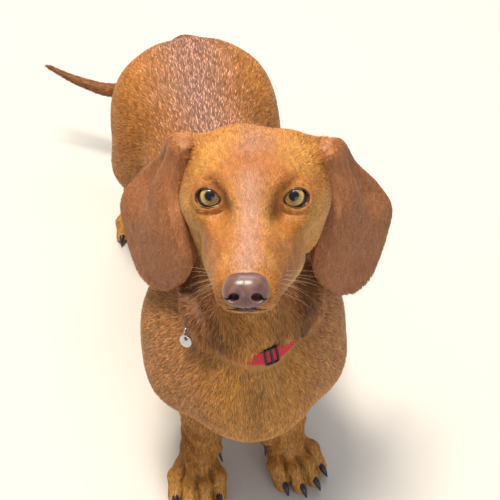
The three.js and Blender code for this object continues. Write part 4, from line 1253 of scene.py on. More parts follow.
for name, side, at, out, size, ankle, front in PAWS:
    origin, axes = paw_frame(side, at, out, front)
    horns = []
    for x in TOE_X:
        reach = (OUTER_TOE if abs(x) > 10 else MIDDLE_TOE) * size
        root = [x * 1.03 * size, -reach - 1, 8.5 * size]
        tip = [x * 1.1 * size, -reach - CLAW_REACH * size, 1.6]
        horns.append(claw(root, tip, CLAW_THICK * size))
    nodes = [f"claw_{name}_{n + 1}" for n in range(4)]
    if front:
        x, y, z = DEWCLAW
        horns.append(claw([side * x * 1.05, y - 1, z - 1], [side * x * 1.28, y - 8, z - 10], 2))
        nodes.append("dewclaw_" + name.split("_")[1])
    points, faces = joined(horns)
    add_shape("claws_" + name, (points @ axes.T + origin, faces), claw_material, "claw_horn", *nodes)
    print(name, len(horns), "claws")

# %% [markdown]
# ## Collar
# A narrow red webbing band lies in a tilted plane round the neck. Where it lies on the skin is found by
# sending rays out from the middle of the neck. The slider, the buckle and the keeper of the D ring are
# blocks with rounded edges that follow the band. Woven webbing shows fine ribs across its length: the band
# carries its own length and height in mm, so that the ribs can be as far apart as real ones.

# %% Collar shapes
COLLAR_CENTRE = np.array([0.0, -4.0, 230.0])
RING_ANGLE = -48


def unit(v):
    return v / np.linalg.norm(v, axis=-1, keepdims=True)


COLLAR_UP = unit(np.array([0.06, -0.41, 0.9]))
COLLAR_ROUND = unit(np.array([0, -COLLAR_UP[2], COLLAR_UP[1]]))


def collar_frames(degrees):
    """Where the band lies on the neck at angles from the front, and the ways across and out of it."""
    turn = np.radians(np.asarray(degrees, float))[:, None]
    level = COLLAR_ROUND * np.cos(turn) + np.cross(COLLAR_UP, COLLAR_ROUND) * np.sin(turn)

    def on_neck(height):
        return leaves(bare_flesh, np.repeat([COLLAR_CENTRE + COLLAR_UP * height], len(level), 0), level, 110)

    at = on_neck(0)
    across = unit(on_neck(5) - on_neck(-5))
    out = unit(level - across * (level * across).sum(1, keepdims=True))
    return at, across, out


STRAP_CORNERS = 20


def strap(degrees, low, high, inner, outer, square=5):
    """A rounded block along the collar: low to high across it, inner to outer off the neck."""
    at, across, out = collar_frames(degrees)
    turn = np.linspace(0, 2 * np.pi, STRAP_CORNERS, endpoint=False)
    u = np.sign(np.cos(turn)) * np.abs(np.cos(turn)) ** (2 / square)
    v = np.sign(np.sin(turn)) * np.abs(np.sin(turn)) ** (2 / square)
    height = (low + high) / 2 + u * (high - low) / 2
    stand = (inner + outer) / 2 + v * (outer - inner) / 2
    rings = at[:, None] + height[None, :, None] * across[:, None] + stand[None, :, None] * out[:, None]
    index = np.arange(len(at) * STRAP_CORNERS).reshape(len(at), STRAP_CORNERS)
    return rings.reshape(-1, 3), between(index[:-1], index[1:]), height, at


def block(first, last, low, high, inner, outer, steps=14):
    """A strap with round ends."""
    t = np.linspace(0, 1, steps)
    swell = (1 - np.abs(2 * t - 1) ** 6) ** 0.5
    points, faces, _, at = strap(first + (last - first) * t, low, high, inner, outer, 4)
    rings = points.reshape(steps, -1, 3)
    middle = rings.mean(1, keepdims=True)
    return (middle + (rings - middle) * swell[:, None, None]).reshape(-1, 3), faces


BAND_STEPS = 181
band_points, band_faces, band_height, band_at = strap(np.linspace(-180, 180, BAND_STEPS), -5, 5, 0.6, 2.6)
band_length = np.concatenate([[0], np.cumsum(np.linalg.norm(np.diff(band_at, axis=0), axis=1))])
print("collar", band_length[-1].round(), "mm round")

# %% [markdown]
# ## Webbing
# The red band and the keeper of the D ring are woven nylon. A wave that runs slantwise over the band's own
# map gives the ribs, and a fine noise the threads.

# %% Webbing
RIB = 1.4  # mm between the ribs, a little coarser than real ones so that they show
# woven nylon tape
webbing_material, tree = new_material("nylon_webbing_red")
weave = add_node(tree, "ShaderNodeAttribute", {"attribute_name": "weave"}).outputs["Vector"]
ribs_at = add_node(tree, "ShaderNodeMapping", Vector=weave, Scale=(1 / RIB, 1 / RIB, 1))
ribs = add_node(tree, "ShaderNodeTexWave", {"bands_direction": "DIAGONAL"}, Vector=ribs_at, Scale=0.45)
threads = add_node(tree, "ShaderNodeTexNoise", Vector=ribs_at, Scale=2.5, Detail=3.0)
rib, thread = ribs.outputs["Fac"], threads.outputs["Fac"]
height = add_node(tree, "ShaderNodeMath", {"operation": "ADD"}, i0=rib, i1=thread)
bump = add_node(tree, "ShaderNodeBump", Strength=0.6, Distance=0.0003, Height=height)
surface(
    tree,
    Base_Color=ramp(tree, height, [(0.3, "#8E1020"), (0.75, "#C9202F"), (1.0, "#DE3A44")]),
    Roughness=0.7,
    Sheen_Weight=0.15,
    Normal=bump,
)

keeper_points, keeper_faces = block(RING_ANGLE - 3, RING_ANGLE + 3, -4, 4, 1.6, 5.4)
points, faces = joined([(band_points, band_faces), (keeper_points, keeper_faces)])
collar_mesh = mesh_from("collar_webbing", points, faces)
along = np.concatenate([np.repeat(band_length, STRAP_CORNERS), np.linspace(0, 7, len(keeper_points))])
across = np.concatenate([np.tile(band_height, BAND_STEPS), np.linspace(-4, 4, len(keeper_points))])
weave_values = np.stack([along, across, 0 * along], 1).astype(np.float32)
collar_mesh.attributes.new("weave", "FLOAT_VECTOR", "POINT").data.foreach_set("vector", weave_values.ravel())
add_piece("collar_webbing", collar_mesh, webbing_material, "red_webbing", "collar")
print("webbing", len(points), "vertices")

# %% [markdown]
# ## Slider and buckle
# Moulded black acetal: satin, with soft edges. The slider is a frame with three bars that the webbing
# threads through. The side-release buckle has a body, a plug and two spring arms.

# %% Slider and buckle
# black acetal, moulded, with a faint grain
plastic_material = grained(
    "moulded_acetal_black",
    1200.0,
    [(0.3, "#161A18"), (0.7, "#232825")],
    bump=(0.1, 0.0001),
    Roughness=0.38,
    IOR=1.48,
)
slider_parts = [block(6, 15, low, low + 1.6, -0.4, 3.7) for low in (-6.5, 4.9)]
slider_parts += [block(first, first + 1.5, -6, 6, 1.4, 4.0) for first in (6, 9.8, 13.5)]
add_shape("slider_frame", joined(slider_parts), plastic_material, "black_plastic", "collar_slider")
buckle_parts = [
    block(32, 46, -7.5, 7.5, -0.6, 6.3),
    block(48.5, 56, -7, 7, -0.6, 5.6),
    block(44, 50, -3, 3, 0.4, 4.6),
    *(block(43, 51, low, low + 2, 1, 4.8) for low in (-7.6, 5.6)),
]
add_shape("side_buckle", joined(buckle_parts), plastic_material, "black_plastic", "collar_buckle")
print("slider of", len(slider_parts), "bars, buckle of", len(buckle_parts), "parts")

# %% [markdown]
# ## Rings and tag
# A D ring of steel wire hangs from the keeper, a split ring of two turns hangs in it, and a small blank disc
# hangs in the split ring. Bright steel is smooth, with fine scratches that only change its roughness.

# %% Rings and tag
# bright steel with fine scratches
steel_material, tree = new_material("polished_steel")
coordinates = add_node(tree, "ShaderNodeTexCoord").outputs["Object"]
scratches_at = add_node(tree, "ShaderNodeMapping", Vector=coordinates, Scale=(300.0, 3000.0, 300.0))
scratches = add_node(tree, "ShaderNodeTexNoise", Vector=scratches_at, Scale=1.0, Detail=2.0)
steel_roughness = add_node(tree, "ShaderNodeMapRange", Value=scratches, To_Min=0.14, To_Max=0.34)
steel_colour = ramp(tree, scratches, [(0.3, "#B8BBC0"), (0.7, "#D6D8DC")])
surface(tree, Base_Color=steel_colour, Metallic=1.0, Roughness=steel_roughness)

ring_at, _, ring_out = (v[0] for v in collar_frames([RING_ANGLE]))
upward = unit(np.array([0, 0, 1.0]) - ring_out * ring_out[2])
ring_axes = np.stack([np.cross(upward, ring_out), upward, ring_out], 1)
ring_origin = ring_at + 4 * ring_out
D_POINTS = np.array([[-4.6, 0, 0], [0, 0, 0], [4.6, 0, 0], [4.9, -3.5, 3.2], [0, -6.5, 6], [-4.9, -3.5, 3.2]])
# the middle one of three rounds is smooth where it closes
d_line = curve_at(np.vstack([D_POINTS, D_POINTS, D_POINTS]), np.linspace(0, 1, 181))[60:120]
RING_RADIUS, RING_WIRE, D_WIRE = 5.6, 0.8, 0.9
hang = D_POINTS[4] - [0, RING_RADIUS - D_WIRE - RING_WIRE - 0.3, 0]
turn = np.linspace(0, 4 * np.pi, 120)
split_line = np.stack(
    [
        np.interp(turn, [0, 4 * np.pi], [-0.42, 0.42]),
        RING_RADIUS * np.cos(turn),
        RING_RADIUS * np.sin(turn),
    ],
    1,
)


def in_ring_frame(part):
    return part[0] @ ring_axes.T + ring_origin, part[1]


d_ring = in_ring_frame(tube(d_line, D_WIRE, 12, looped=True))
add_shape("d_ring_wire", d_ring, steel_material, "steel", "collar_d_ring")
split_ring = in_ring_frame(tube(split_line + hang, 0.42, 10))
add_shape("split_ring", split_ring, steel_material, "steel", "tag_ring")

TAG_RADIUS, TAG_THICK, HOLE_RADIUS = 5.2, 1.2, 1.6
TAG_BEVEL, TAG_SIDES = 0.15, 48
hole_at = hang + [0, -RING_RADIUS - 0.4, 0]
tag_at = hole_at + [0, -TAG_RADIUS + HOLE_RADIUS + 1.2, 0]
tag_curve = bpy.data.curves.new("tag_outline", "CURVE")
tag_curve.dimensions = "2D"
tag_curve.fill_mode = "BOTH"
tag_curve.extrude = TAG_THICK / 2 - TAG_BEVEL
tag_curve.bevel_depth = TAG_BEVEL
tag_curve.offset = -TAG_BEVEL
for centre, radius in ((tag_at, TAG_RADIUS), (hole_at, HOLE_RADIUS)):
    outline = tag_curve.splines.new("POLY")
    outline.points.add(TAG_SIDES - 1)
    outline.use_cyclic_u = True
    for n, point in enumerate(outline.points):
        a = 2 * math.pi * n / TAG_SIDES
        point.co = (centre[0] + radius * math.cos(a), centre[1] + radius * math.sin(a), 0, 1)
tag_holder = bpy.data.objects.new("tag_outline", tag_curve)
tag_mesh = bpy.data.meshes.new_from_object(tag_holder)
co = np.empty(len(tag_mesh.vertices) * 3)
tag_mesh.vertices.foreach_get("co", co)
co = co.reshape(-1, 3) + [0, 0, tag_at[2]]
co = (co @ ring_axes.T + ring_origin - CENTRE) / 1000
tag_mesh.vertices.foreach_set("co", co.ravel())
tag_mesh.update()
bpy.data.objects.remove(tag_holder)
add_piece("tag_disc", tag_mesh, steel_material, "steel", "tag")
print("tag disc", len(tag_mesh.vertices), "vertices")

# %% [markdown]
# ## Markings
# A clear red dachshund isn't one colour: the chest, the throat, the cheeks and the toes are golden, the
# ears and the brows are deeper red, the middle of the back is greyed with dark hairs, and the bridge of the
# nose is thinly haired, so that pinkish skin shows. Some of the shares are painted light and shade: painted
# shade on the sides of the neck, in the folds of the throat and chest, between the toes and beside the ears'
# front edges, painted light in the inner corners of the eyes and a painted sheen on the crown. Each marking
# is a share from 0 to 1, worked out from where a point lies on the dog. Skin and coat read the same function.

# %% Markings
# each marking's colour: golden hair, with painted light in the eyes' inner corners; deep red hair, with
# painted shade on the neck's sides; greyed hair of the back; thinly haired skin, with a painted sheen on the
# crown and painted highlights and glints; and the dark of the tail's end and the painted shade of folds, toes
# and ear gaps
MARKS = {"pale": "#C99146", "deep": "#9C5A2A", "saddle": "#7A5240", "bare": "#AB7F68", "dark": "#3A2110"}
ear_edges = [ear_points(side, np.zeros(24), np.linspace(0.08, 0.8, 24))[0] for side in (1, -1)]


def share_inside(p, centre, radii, soft=0.35):
    """1 inside an ellipsoid, falling to 0 across its soft edge."""
    far = np.linalg.norm((p - centre) / radii, axis=1)
    return 1 - smooth_step(far, 1 - soft, 1 + soft)


def markings(p, ear_share):
    """The shares of each marking at points of the dog's frame; ear_share is 1 on the flaps of the ears."""
    h = to_head(p)
    half = one_side(h)
    hx, hy, hz = half.T
    x, y, z = p.T
    off_ear = 1 - ear_share
    on_head = share_inside(h, [0, 0, -14], [72, 115, 58], 0.15) * off_ear
    off_head = 1 - on_head
    # the head
    cheek = share_inside(half, [44, 22, -22], [16, 42, 26])
    temple = share_inside(half, [27, 24, 26], [17, 22, 20], 0.6)
    jaw = smooth_step(-hz, 36, 50)
    muzzle_side = share_inside(half, [20, -46, -22], [14, 36, 18], 0.5)
    brow = share_inside(half, [20, -3, 18], [9, 8, 5], 0.7)
    under_eye = share_inside(half, [23, -16, -6], [11, 15, 10], 0.6)
    bridge = hump(hx, 0, 9) * smooth_step(-hy, -6, 30) * smooth_step(hz, -30, -14)
    leather_edge = share_inside(h, [0, -76, -19], [11, 11, 13], 0.6)
    fringe = share_inside(half, [13, -69, -21], [5, 9, 7], 0.7)
    # painted light: the inner corners of the eyes are made paler, which lifts the shade that falls there
    tear_corner_painted_light = share_inside(half, [15, -30, -4], [6, 12, 12], 0.8)
    # painted sheen: the crown is made paler and greyer, where it takes the light
    crown = hump(hx, 0, 12) * smooth_step(hy, 2, 22) * smooth_step(hz, 10, 26)
    forehead = share_inside(half, [0, 10, 26], [22, 26, 18], 0.7)
    # the body
    # painted shade on the sides of the neck below the ears, where the head shades it
    neck_hollow_painted_shade = share_inside(np.stack([np.abs(x - 4), y, z], 1), [40, -22, 250], [22, 40, 48], 0.6)
    chest = hump(x, 4, 46) * smooth_step(-y, 30, 70) * smooth_step(240 - z, 0, 60)
    belly = smooth_step(115 - z, 0, 35) * smooth_step(60 - np.abs(x), 0, 30)
    toes = np.maximum(smooth_step(34 - z, 0, 22), 0.35 * smooth_step(110 - z, 0, 30))
    shoulder = smooth_step(np.abs(x - 4), 26, 56) * smooth_step(-y, -10, 30) * hump(z, 185, 60)
    inner_leg = smooth_step(120 - z, 0, 60) * smooth_step(46 - np.abs(x), 0, 18)
    throat = smooth_step(-y, 36, 60) * hump(x, 5, 26) * smooth_step(z, 190, 215) * smooth_step(300 - z, 0, 30)
    tail_end = smooth_step(y, 305, 350)
    # the shares
    pale_head = np.maximum.reduce([0.8 * cheek, 0.75 * temple, jaw, fringe, 0.6 * tear_corner_painted_light])
    pale_body = np.maximum.reduce(
        [0.75 * chest, 0.6 * belly, toes, 0.5 * inner_leg, 0.7 * throat, 0.35 * shoulder]
    )
    pale = np.maximum(on_head * pale_head, off_head * pale_body) * off_ear
    deep_head = np.maximum.reduce([0.3 * muzzle_side, 0.7 * brow, 0.2 * under_eye, 0.75 * forehead])
    # painted shade on the neck's sides, and the tail's deeper red end
    deep_body = np.maximum(0.6 * neck_hollow_painted_shade, 0.5 * tail_end * off_ear)
    deep = np.maximum.reduce([0.7 * ear_share, on_head * deep_head, off_head * deep_body])
    back = hump(np.abs(x - spine_x(y)), 0, 34) * smooth_step(z, 150, 185)
    saddle = back * smooth_step(y, 20, 110) * off_head
    saddle = saddle * (1 - 0.6 * smooth_step(y, 290, 350)) * off_ear
    # the crown's share here is a painted sheen
    bare_head = np.maximum.reduce([0.8 * bridge, leather_edge, 0.6 * crown])
    bare = np.maximum.reduce([on_head * bare_head, 0.25 * ear_share, 0.3 * off_head * off_ear * shoulder])
    dark = (0.35 * smooth_step(y, 300, 330) + 0.4 * smooth_step(y, 390, 430)) * off_ear
    # painted shade along the folds of the throat and the chest
    near_throat = ((p > THROAT_LOW) & (p < [65, -10, 265])).all(1)
    for line, deepest, half_width in THROAT_FOLDS:
        to_line = distance_to_line(p[near_throat], line)
        valley_painted_shade = 0.16 * deepest * hump(to_line, 0, 2.4 * half_width) * (off_head * off_ear)[near_throat]
        dark[near_throat] = np.maximum(dark[near_throat], valley_painted_shade)
    # painted shade in the grooves between the toes
    dark = np.maximum(dark, 0.45 * toe_depth(p))
    # painted shadow of the gap between each ear's front edge and the cheek, on the skin beside that edge
    for edge in ear_edges:
        near = (np.abs(p - edge.mean(0)) < [40, 40, 90]).all(1) & (ear_share < 0.2)
        to_line = distance_to_line(p[near], edge)
        dark[near] = np.maximum(dark[near], 0.6 * hump(to_line, 0, 3.5))
    return dict(zip(MARKS, (pale, deep, saddle, bare, dark)))


def store(mesh, **values):
    """Stores numbers on the mesh's points, for the shader to read."""
    for name, value in values.items():
        attribute = mesh.attributes.new(name, "FLOAT", "POINT")
        attribute.data.foreach_set("value", np.asarray(value, np.float32))


print("markings", *MARKS)

# %% [markdown]
# ## Colours of the coat
# Red dachshund hair, groomed flat, has a soft gloss. The skin's material shows the short hair that lies
# flat as a fine bump that runs no special way, as hair lies every way round the body. The tufts add the
# strokes. Both mix the same colours by the same markings.

# %% Coat material
HAIR_MM = 0.9
LOCK_MM = 3.0


def coat_material(name, tufts):
    """Mixes the coat's colours by the markings; tufts also vary from one to the next."""
    material, tree = new_material(name)
    coordinates = add_node(tree, "ShaderNodeTexCoord").outputs["Object"]
    patches = add_node(tree, "ShaderNodeTexNoise", Vector=coordinates, Scale=38.0, Detail=5.0)
    hairs = add_node(tree, "ShaderNodeTexNoise", Vector=coordinates, Scale=1000 / HAIR_MM, Detail=2.0)
    colour = ramp(tree, patches, [(0.3, "#A26526"), (0.7, "#BE7E38")])
    for mark, tint in MARKS.items():
        amount = add_node(tree, "ShaderNodeAttribute", {"attribute_name": mark}).outputs["Fac"]
        ragged = add_node(tree, "ShaderNodeMath", {"operation": "MULTIPLY_ADD"}, i0=patches, i1=0.5, i2=-0.25)
        soft = add_node(tree, "ShaderNodeMath", {"operation": "MULTIPLY"}, i0=ragged, i1=amount)
        share = add_node(tree, "ShaderNodeMath", {"operation": "ADD", "use_clamp": True}, i0=soft, i1=amount)
        mixed = add_node(tree, "ShaderNodeMix", {"data_type": "RGBA"}, i0=share, i6=colour, i7=linear(tint))
        colour = mixed.outputs[2]
    long_locks = add_node(tree, "ShaderNodeMapping", Vector=coordinates, Scale=(1.0, 0.3, 0.3))
    locks = add_node(
        tree, "ShaderNodeTexNoise", Vector=long_locks, Scale=1000 / LOCK_MM, Detail=3.0, Roughness=0.6
    )
    lock_shade = add_node(tree, "ShaderNodeMapRange", Value=locks, i1=0.3, i2=0.7, To_Min=0.82, To_Max=1.18)
    shader_inputs = {}
    if tufts:
        shade = add_node(tree, "ShaderNodeAttribute", {"attribute_name": "shade"}).outputs["Fac"]
    else:
        shade = add_node(tree, "ShaderNodeMapRange", Value=hairs, i1=0.3, i2=0.7, To_Min=0.75, To_Max=1.05)
        bump = add_node(tree, "ShaderNodeBump", Strength=0.5, Distance=0.0003, Height=hairs)
        shader_inputs["Normal"] = bump
    both = add_node(tree, "ShaderNodeMath", {"operation": "MULTIPLY"}, i0=shade, i1=lock_shade)
    surface(
        tree,
        Base_Color=add_node(tree, "ShaderNodeVectorMath", {"operation": "SCALE"}, i0=colour, Scale=both),
        Roughness=0.52,
        Specular_IOR_Level=0.35,
        Sheen_Weight=0.05,
        Sheen_Roughness=0.4,
        **shader_inputs,
    )
    return material


# skin under short red hair that lies flat, and locks of the same hair
skin_material = coat_material("short_red_coat_over_skin", tufts=False)
tuft_material = coat_material("red_coat_tufts", tufts=True)
FLESH = ["torso", "neck", "head", "tail"]
for part in ("foreleg", "hindleg", "forepaw", "hindpaw", "ear"):
    FLESH += [part + "_left", part + "_right"]
flap_size = 2 * EAR_COLUMNS * EAR_ROWS
flap_s, flap_t = (np.tile(shares.ravel(), 2) for shares in (ear_s, ear_t))
on_ear = np.zeros(len(all_points))
ear_rim_painted_highlight = np.zeros(len(all_points))  # painted highlight along the rolled front edge of each flap
for n in range(2):
    first = len(skin_points) + n * flap_size
    on_ear[first : first + flap_size] = smooth_step(flap_t, 0.02, 0.2)
    ear_rim_painted_highlight[first : first + flap_size] = hump(flap_s, 0.02, 0.07) * smooth_step(flap_t, 0.05, 0.2)
skin_marks = markings(all_points, on_ear)
# painted highlight on the ears' front edges
skin_marks["bare"] = np.maximum(skin_marks["bare"], 0.5 * ear_rim_painted_highlight)
store(skin_mesh, **skin_marks)
skin = add_piece("skin", skin_mesh, skin_material, "coat", *FLESH)
print("skin in the place of", len(FLESH), "nodes")

# %% [markdown]
# ## Which way the coat lies, and how long it is
# The tufts are short and fine on the face, the feet and the ears, and longer on the body. The hair lies
# back from the nose, round the neck, along the trunk and down the legs and ears: each landmark below gives
# a place, a reach and a direction, and a hair takes the mean of those near it.

# %% Lie of the coat
LIE = [
    # place, reach, direction
    ((0, 66, 210), 70, (0, 1, -0.1)),
    ((60, 80, 140), 60, (0.0, 1, -0.45)),
    ((-60, 80, 140), 60, (0.0, 1, -0.45)),
    ((0, 80, 80), 60, (0, 1, 0.1)),
    ((0, 220, 205), 70, (0, 1, -0.2)),
    ((60, 250, 150), 50, (0, 0.8, -0.8)),
    ((-64, 250, 150), 50, (0, 0.8, -0.8)),
    ((50, 280, 70), 40, (0, 0.3, -1)),
    ((-58, 280, 70), 40, (0, 0.3, -1)),
    ((50, 10, 90), 35, (0, 0.3, -1)),
    ((-50, 10, 90), 35, (0, 0.3, -1)),
    ((36, -25, 25), 26, (0.1, -0.7, -0.7)),
    ((-40, -30, 25), 26, (-0.1, -0.7, -0.7)),
    ((56, 265, 20), 26, (0, -0.7, -0.7)),
    ((-60, 265, 20), 26, (0, -0.7, -0.7)),
    ((50, -30, 160), 42, (0.5, 0.3, -1)),
    ((-50, -30, 160), 42, (-0.5, 0.3, -1)),
    ((0, -85, 140), 42, (0, 0.0, -1)),
    ((10, -60, 215), 34, (0.1, 0.0, -1)),
    ((60, 20, 215), 40, (0.2, 0.7, -0.8)),
    ((-55, 20, 215), 40, (-0.2, 0.7, -0.8)),
    ((0, 60, 250), 50, (0, 0.7, -0.8)),
    ((0, -20, 260), 40, (0, 0.3, -1)),
]
HEAD_LIE = [
    # the same, in the head's frame
    ((0, -80, -20), 22, (0, 1, 0.3)),
    ((22, -60, -25), 22, (0.3, 1, -0.2)),
    ((-22, -60, -25), 22, (-0.3, 1, -0.2)),
    ((0, -40, -5), 24, (0, 1, 0.2)),
    ((0, 0, 25), 26, (0, 1, 0.6)),
    ((0, 40, 36), 30, (0, 1, 0)),
    ((38, 20, 10), 26, (0.5, 1, -0.2)),
    ((-38, 20, 10), 26, (-0.5, 1, -0.2)),
    ((45, 20, -25), 28, (0.3, 1, -0.7)),
    ((-45, 20, -25), 28, (-0.3, 1, -0.7)),
    ((0, -50, -48), 28, (0, 1, -0.1)),
    ((0, 10, -60), 30, (0, 0.8, -0.8)),
]
# place, reach and direction of every landmark; the hair of the tail follows its line
lie = [(np.array(place, float), reach, unit(np.array(way, float))) for place, reach, way in LIE]
lie += [(from_head(place), reach, head_axes @ unit(np.array(way, float))) for place, reach, way in HEAD_LIE]
lie += [(tail_line[n], 22, unit(tail_line[n] - tail_line[n - 1])) for n in range(14, TAIL_STEPS, 6)]


def lie_at(p):
    """The direction in which the coat lies at points of the body."""
    total = np.zeros_like(p)
    for place, reach, way in lie:
        far2 = ((p - place) ** 2).sum(1) / reach**2
        total += (np.exp(-far2) + 1e-5 / (far2 + 0.1))[:, None] * way
    return unit(total)


ON_FLAP = 0.3  # share of the ear's marking from which hair is ear hair


def hair_size(p, ear_share):
    """Length and width in mm of the tufts that grow at points of the dog's frame."""
    face = share_inside(to_head(p), [0, -24, -14], [62, 82, 54], 0.3)
    feet = smooth_step(70 - p[:, 2], 0, 45)
    length = (6.6 - 3.8 * face) * (1 - 0.45 * feet)
    width = 0.58 - 0.18 * face - 0.06 * feet
    return np.where(ear_share > ON_FLAP, 2.6, length), np.where(ear_share > ON_FLAP, 0.42, width)


print("lie of the coat from", len(lie), "landmarks")

# %% [markdown]
# ## Roots of the tufts
# Each tuft starts at a random place on a random triangle of the skin. A triangle is drawn the more often,
# the larger it is and the smaller the tufts are that grow there. Nothing grows on the nose leather, round
# the eyes, in the mouth, on the soles or under the collar.

# %% Roots
TUFTS = 440000
random = np.random.default_rng(7)
triangles = np.vstack([all_faces[:, [0, 1, 2]], all_faces[:, [0, 2, 3]]])
corner = all_points[triangles]
face_cross = np.cross(corner[:, 1] - corner[:, 0], corner[:, 2] - corner[:, 0])
face_area = np.linalg.norm(face_cross, axis=1) / 2
face_middle = corner.mean(1)
face_ear = on_ear[triangles].mean(1)
face_length, face_width = hair_size(face_middle, face_ear)
weight = face_area / (face_length * face_width)
h = to_head(face_middle)
near = np.abs(h).max(1) < 130
outside, _, reach = around_opening(one_side(h))
weight[(outside < 1.2) & (reach < 20)] = 0
weight[near & (in_chunks(nose, h) < 0.9)] = 0
in_front = near & (h[:, 1] < -5) & (h[:, 2] < -30)
to_line = np.full(len(h), FAR)
to_line[in_front] = distance_to_line(h[in_front], mouth_line)
weight[(to_line < 1.3) | ((to_line < 4.5) & (np.abs(h[:, 0]) < 9))] = 0
weight[face_middle[:, 2] < 1.5] = 0
on_plane = np.abs((face_middle - COLLAR_CENTRE) @ COLLAR_UP)
from_centre = np.linalg.norm(face_middle - COLLAR_CENTRE, axis=1)
weight[(on_plane < 6.2) & (from_centre < 95) & (face_ear < 0.1)] = 0
chosen = np.searchsorted(np.cumsum(weight), random.random(TUFTS) * weight.sum())
chosen = np.minimum(chosen, len(triangles) - 1)
a, b = random.random((2, TUFTS, 1))
a, b = np.where(a + b > 1, 1 - a, a), np.where(a + b > 1, 1 - b, b)
picked = all_points[triangles[chosen]]
roots = picked[:, 0] + a * (picked[:, 1] - picked[:, 0]) + b * (picked[:, 2] - picked[:, 0])
vertex_normals = np.empty(len(all_points) * 3, np.float32)
skin_mesh.vertices.foreach_get("normal", vertex_normals)
vertex_normals = vertex_normals.reshape(-1, 3).astype(float)
normals = unit(vertex_normals[triangles[chosen]].mean(1))
print("roots", TUFTS, "over", round(face_area.sum() / 1e6, 3), "square metres of skin")

# %% [markdown]
# ## Blades
# Each tuft is a thin blade of three faces that leaves the skin at a low angle and lies along it. One mesh
# of many blades is quicker to draw and to hand on than hair curves. Length, width, direction, roll, lift
# and shade vary from one to the next.

# %% Blades
HEAD_MIDDLE, HEAD_HALF = [0, -10, -14], [70, 100, 60]
tuft_ear = face_ear[chosen]
length, width = hair_size(roots, tuft_ear)
length = length * random.uniform(0.7, 1.25, TUFTS)
width = width * random.uniform(0.75, 1.3, TUFTS)
way = lie_at(roots)
ear_way = ear_axes @ np.array([0.0, 0.1, -1.0])
way = np.where(tuft_ear[:, None] > ON_FLAP, ear_way, way)
way = way - normals * (way * normals).sum(1, keepdims=True)
way = unit(way + 1e-6)
across = np.cross(normals, way)
way = unit(way + across * random.normal(0, 0.16, (TUFTS, 1)))
across = np.cross(normals, way)
roll = random.normal(0, 0.25, (TUFTS, 1))
flat = across * np.cos(roll) + normals * np.sin(roll)
lift = coat_depth(roots) * random.uniform(0.4, 1.1, TUFTS)
lift = np.where(tuft_ear > ON_FLAP, 0.25, lift)
# share of the length, share of the width, share of the lift
STATIONS = [(0.0, 0.6, -0.25), (0.5, 1.0, 0.75), (1.0, 0.0, 1.0)]
over_collar = (roots - COLLAR_CENTRE) @ COLLAR_UP
hangs = (over_collar > 6.5) & (over_collar < 15) & (roots[:, 1] < -25) & (tuft_ear < 0.1)
hangs &= (roots[:, 0] < -1) | (roots[:, 0] > 33)
# the tail is the sleekest part, and hair on the skin that folds over the collar hangs past the strap's edge
length = np.where(roots[:, 1] > 310, 0.55 * length, length)
length = np.where(hangs, random.uniform(8, 12.5, TUFTS), length)
way = np.where(hangs[:, None], unit(np.array([0.0, -0.12, -1.0]) + random.normal(0, 0.07, (TUFTS, 3))), way)
bend = across * random.normal(0, 0.08, (TUFTS, 1)) * length[:, None]
blade = []
for along, wide, high in STATIONS:
    middle = roots + way * (length * along)[:, None] + normals * (lift * high)[:, None] + bend * along**2
    half = flat * (width * wide / 2)[:, None]
    blade += [middle - half, middle + half] if wide else [middle]
blade = np.stack(blade, 1)
blade[:, :, 2] = np.maximum(blade[:, :, 2], 0.3)
BLADE_FACES = np.array([[0, 1, 3], [0, 3, 2], [2, 3, 4]])
tuft_marks = markings(roots, tuft_ear)
body = (1 - tuft_ear) * (1 - share_inside(to_head(roots), HEAD_MIDDLE, HEAD_HALF, 0.2))
tuft_shade = np.clip(random.normal(1.0, 0.15 + 0.13 * body), 0.5, 1.7)
# painted glints: single tufts in the dark hair of the back are made light and pale, where light glints on the
# hair
painted_glint = random.random(TUFTS) < 0.24 * tuft_marks["saddle"]
tuft_shade = np.where(painted_glint, 1.7, tuft_shade)
tuft_marks["bare"] = np.where(painted_glint, 0.9, tuft_marks["bare"])
# the same painted highlight on the tufts of the ears' front edges
tuft_marks["bare"] = np.maximum(tuft_marks["bare"], 0.5 * ear_rim_painted_highlight[triangles].mean(1)[chosen])
print("blades", blade.shape)

# %% [markdown]
# ## Unwrap
# The map named OFBake unwraps the skin's own shape. A tuft's place on it is its root's place on the skin.

# %% Unwrap of the skin
skin_mesh.uv_layers.new(name="OFBake")
bpy.context.view_layer.objects.active = skin
skin.select_set(True)
bpy.ops.object.mode_set(mode="EDIT")
bpy.ops.mesh.select_all(action="SELECT")
bpy.ops.uv.smart_project(angle_limit=math.radians(66), island_margin=0.0005)
bpy.ops.object.mode_set(mode="OBJECT")
uv = np.empty(len(skin_mesh.loops) * 2, np.float32)
skin_mesh.uv_layers["OFBake"].data.foreach_get("uv", uv)
face_uv = uv.reshape(-1, 4, 2)
corner_uv = np.vstack([face_uv[:, [0, 1, 2]], face_uv[:, [0, 2, 3]]])[chosen].astype(float)
root_uv = corner_uv[:, 0] + a * (corner_uv[:, 1] - corner_uv[:, 0]) + b * (corner_uv[:, 2] - corner_uv[:, 0])
print("unwrapped", len(face_uv), "faces")

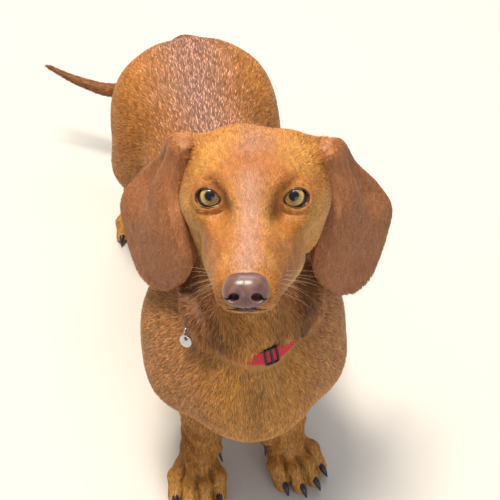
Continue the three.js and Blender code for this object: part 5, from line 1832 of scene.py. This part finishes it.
# %% [markdown]
# ## Coat pieces
# The coat is split into pieces of under 200,000 triangles by the part of the dog that they grow on. A tuft
# goes to the first region in the list that holds its root. On the map each blade is a small patch at its
# root's place, so that the pattern of neighbours stays together.

# %% Coat pieces
PATCH = 0.003
BLADE_POINTS = 5
PATCH_PLACES = np.array([[0, 0], [1, 0], [0, 0.5], [1, 0.5], [0.5, 1.0]]) * PATCH
in_head = (share_inside(to_head(roots), HEAD_MIDDLE, HEAD_HALF, 0.01) > 0.5) & (tuft_ear < ON_FLAP)
REGIONS = {
    "coat_ear_left": (tuft_ear > ON_FLAP) & (roots[:, 0] > 0),
    "coat_ear_right": tuft_ear > ON_FLAP,
    "coat_face": in_head & (to_head(roots)[:, 1] < -8),
    "coat_crown": in_head,
    "coat_neck": (roots[:, 1] < 40) & (roots[:, 2] > 195),
    "coat_chest": (roots[:, 1] < 60) & (roots[:, 2] > 100),
    "coat_forelegs": (roots[:, 2] < 100) & (roots[:, 1] < 120),
    "coat_hindlegs": roots[:, 2] < 100,
    "coat_loin": roots[:, 1] < 190,
    "coat_rump": np.full(TUFTS, True),
}
left = np.ones(TUFTS, bool)
for name, region in REGIONS.items():
    mine = np.nonzero(left & region)[0]
    left[mine] = False
    count = len(mine)
    faces = (np.arange(count)[:, None, None] * BLADE_POINTS + BLADE_FACES).reshape(-1, 3)
    mesh = mesh_from(name, blade[mine].reshape(-1, 3), faces)
    patches = mesh.uv_layers.new(name="OFBake")
    places = root_uv[mine][:, None] + PATCH_PLACES
    patches.data.foreach_set("uv", places.reshape(-1, 2)[faces.ravel()].astype(np.float32).ravel())
    shade = np.repeat(tuft_shade[mine], BLADE_POINTS) * np.tile([0.8, 0.8, 1.0, 1.0, 1.12], count)
    store(mesh, shade=shade, **{mark: np.repeat(tuft_marks[mark][mine], BLADE_POINTS) for mark in MARKS})
    add_piece(name, mesh, tuft_material, "coat")
    print(name, len(faces), "triangles")

low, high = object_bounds()
print("visual box", [round(v, 4) for v in (*low, *high)])
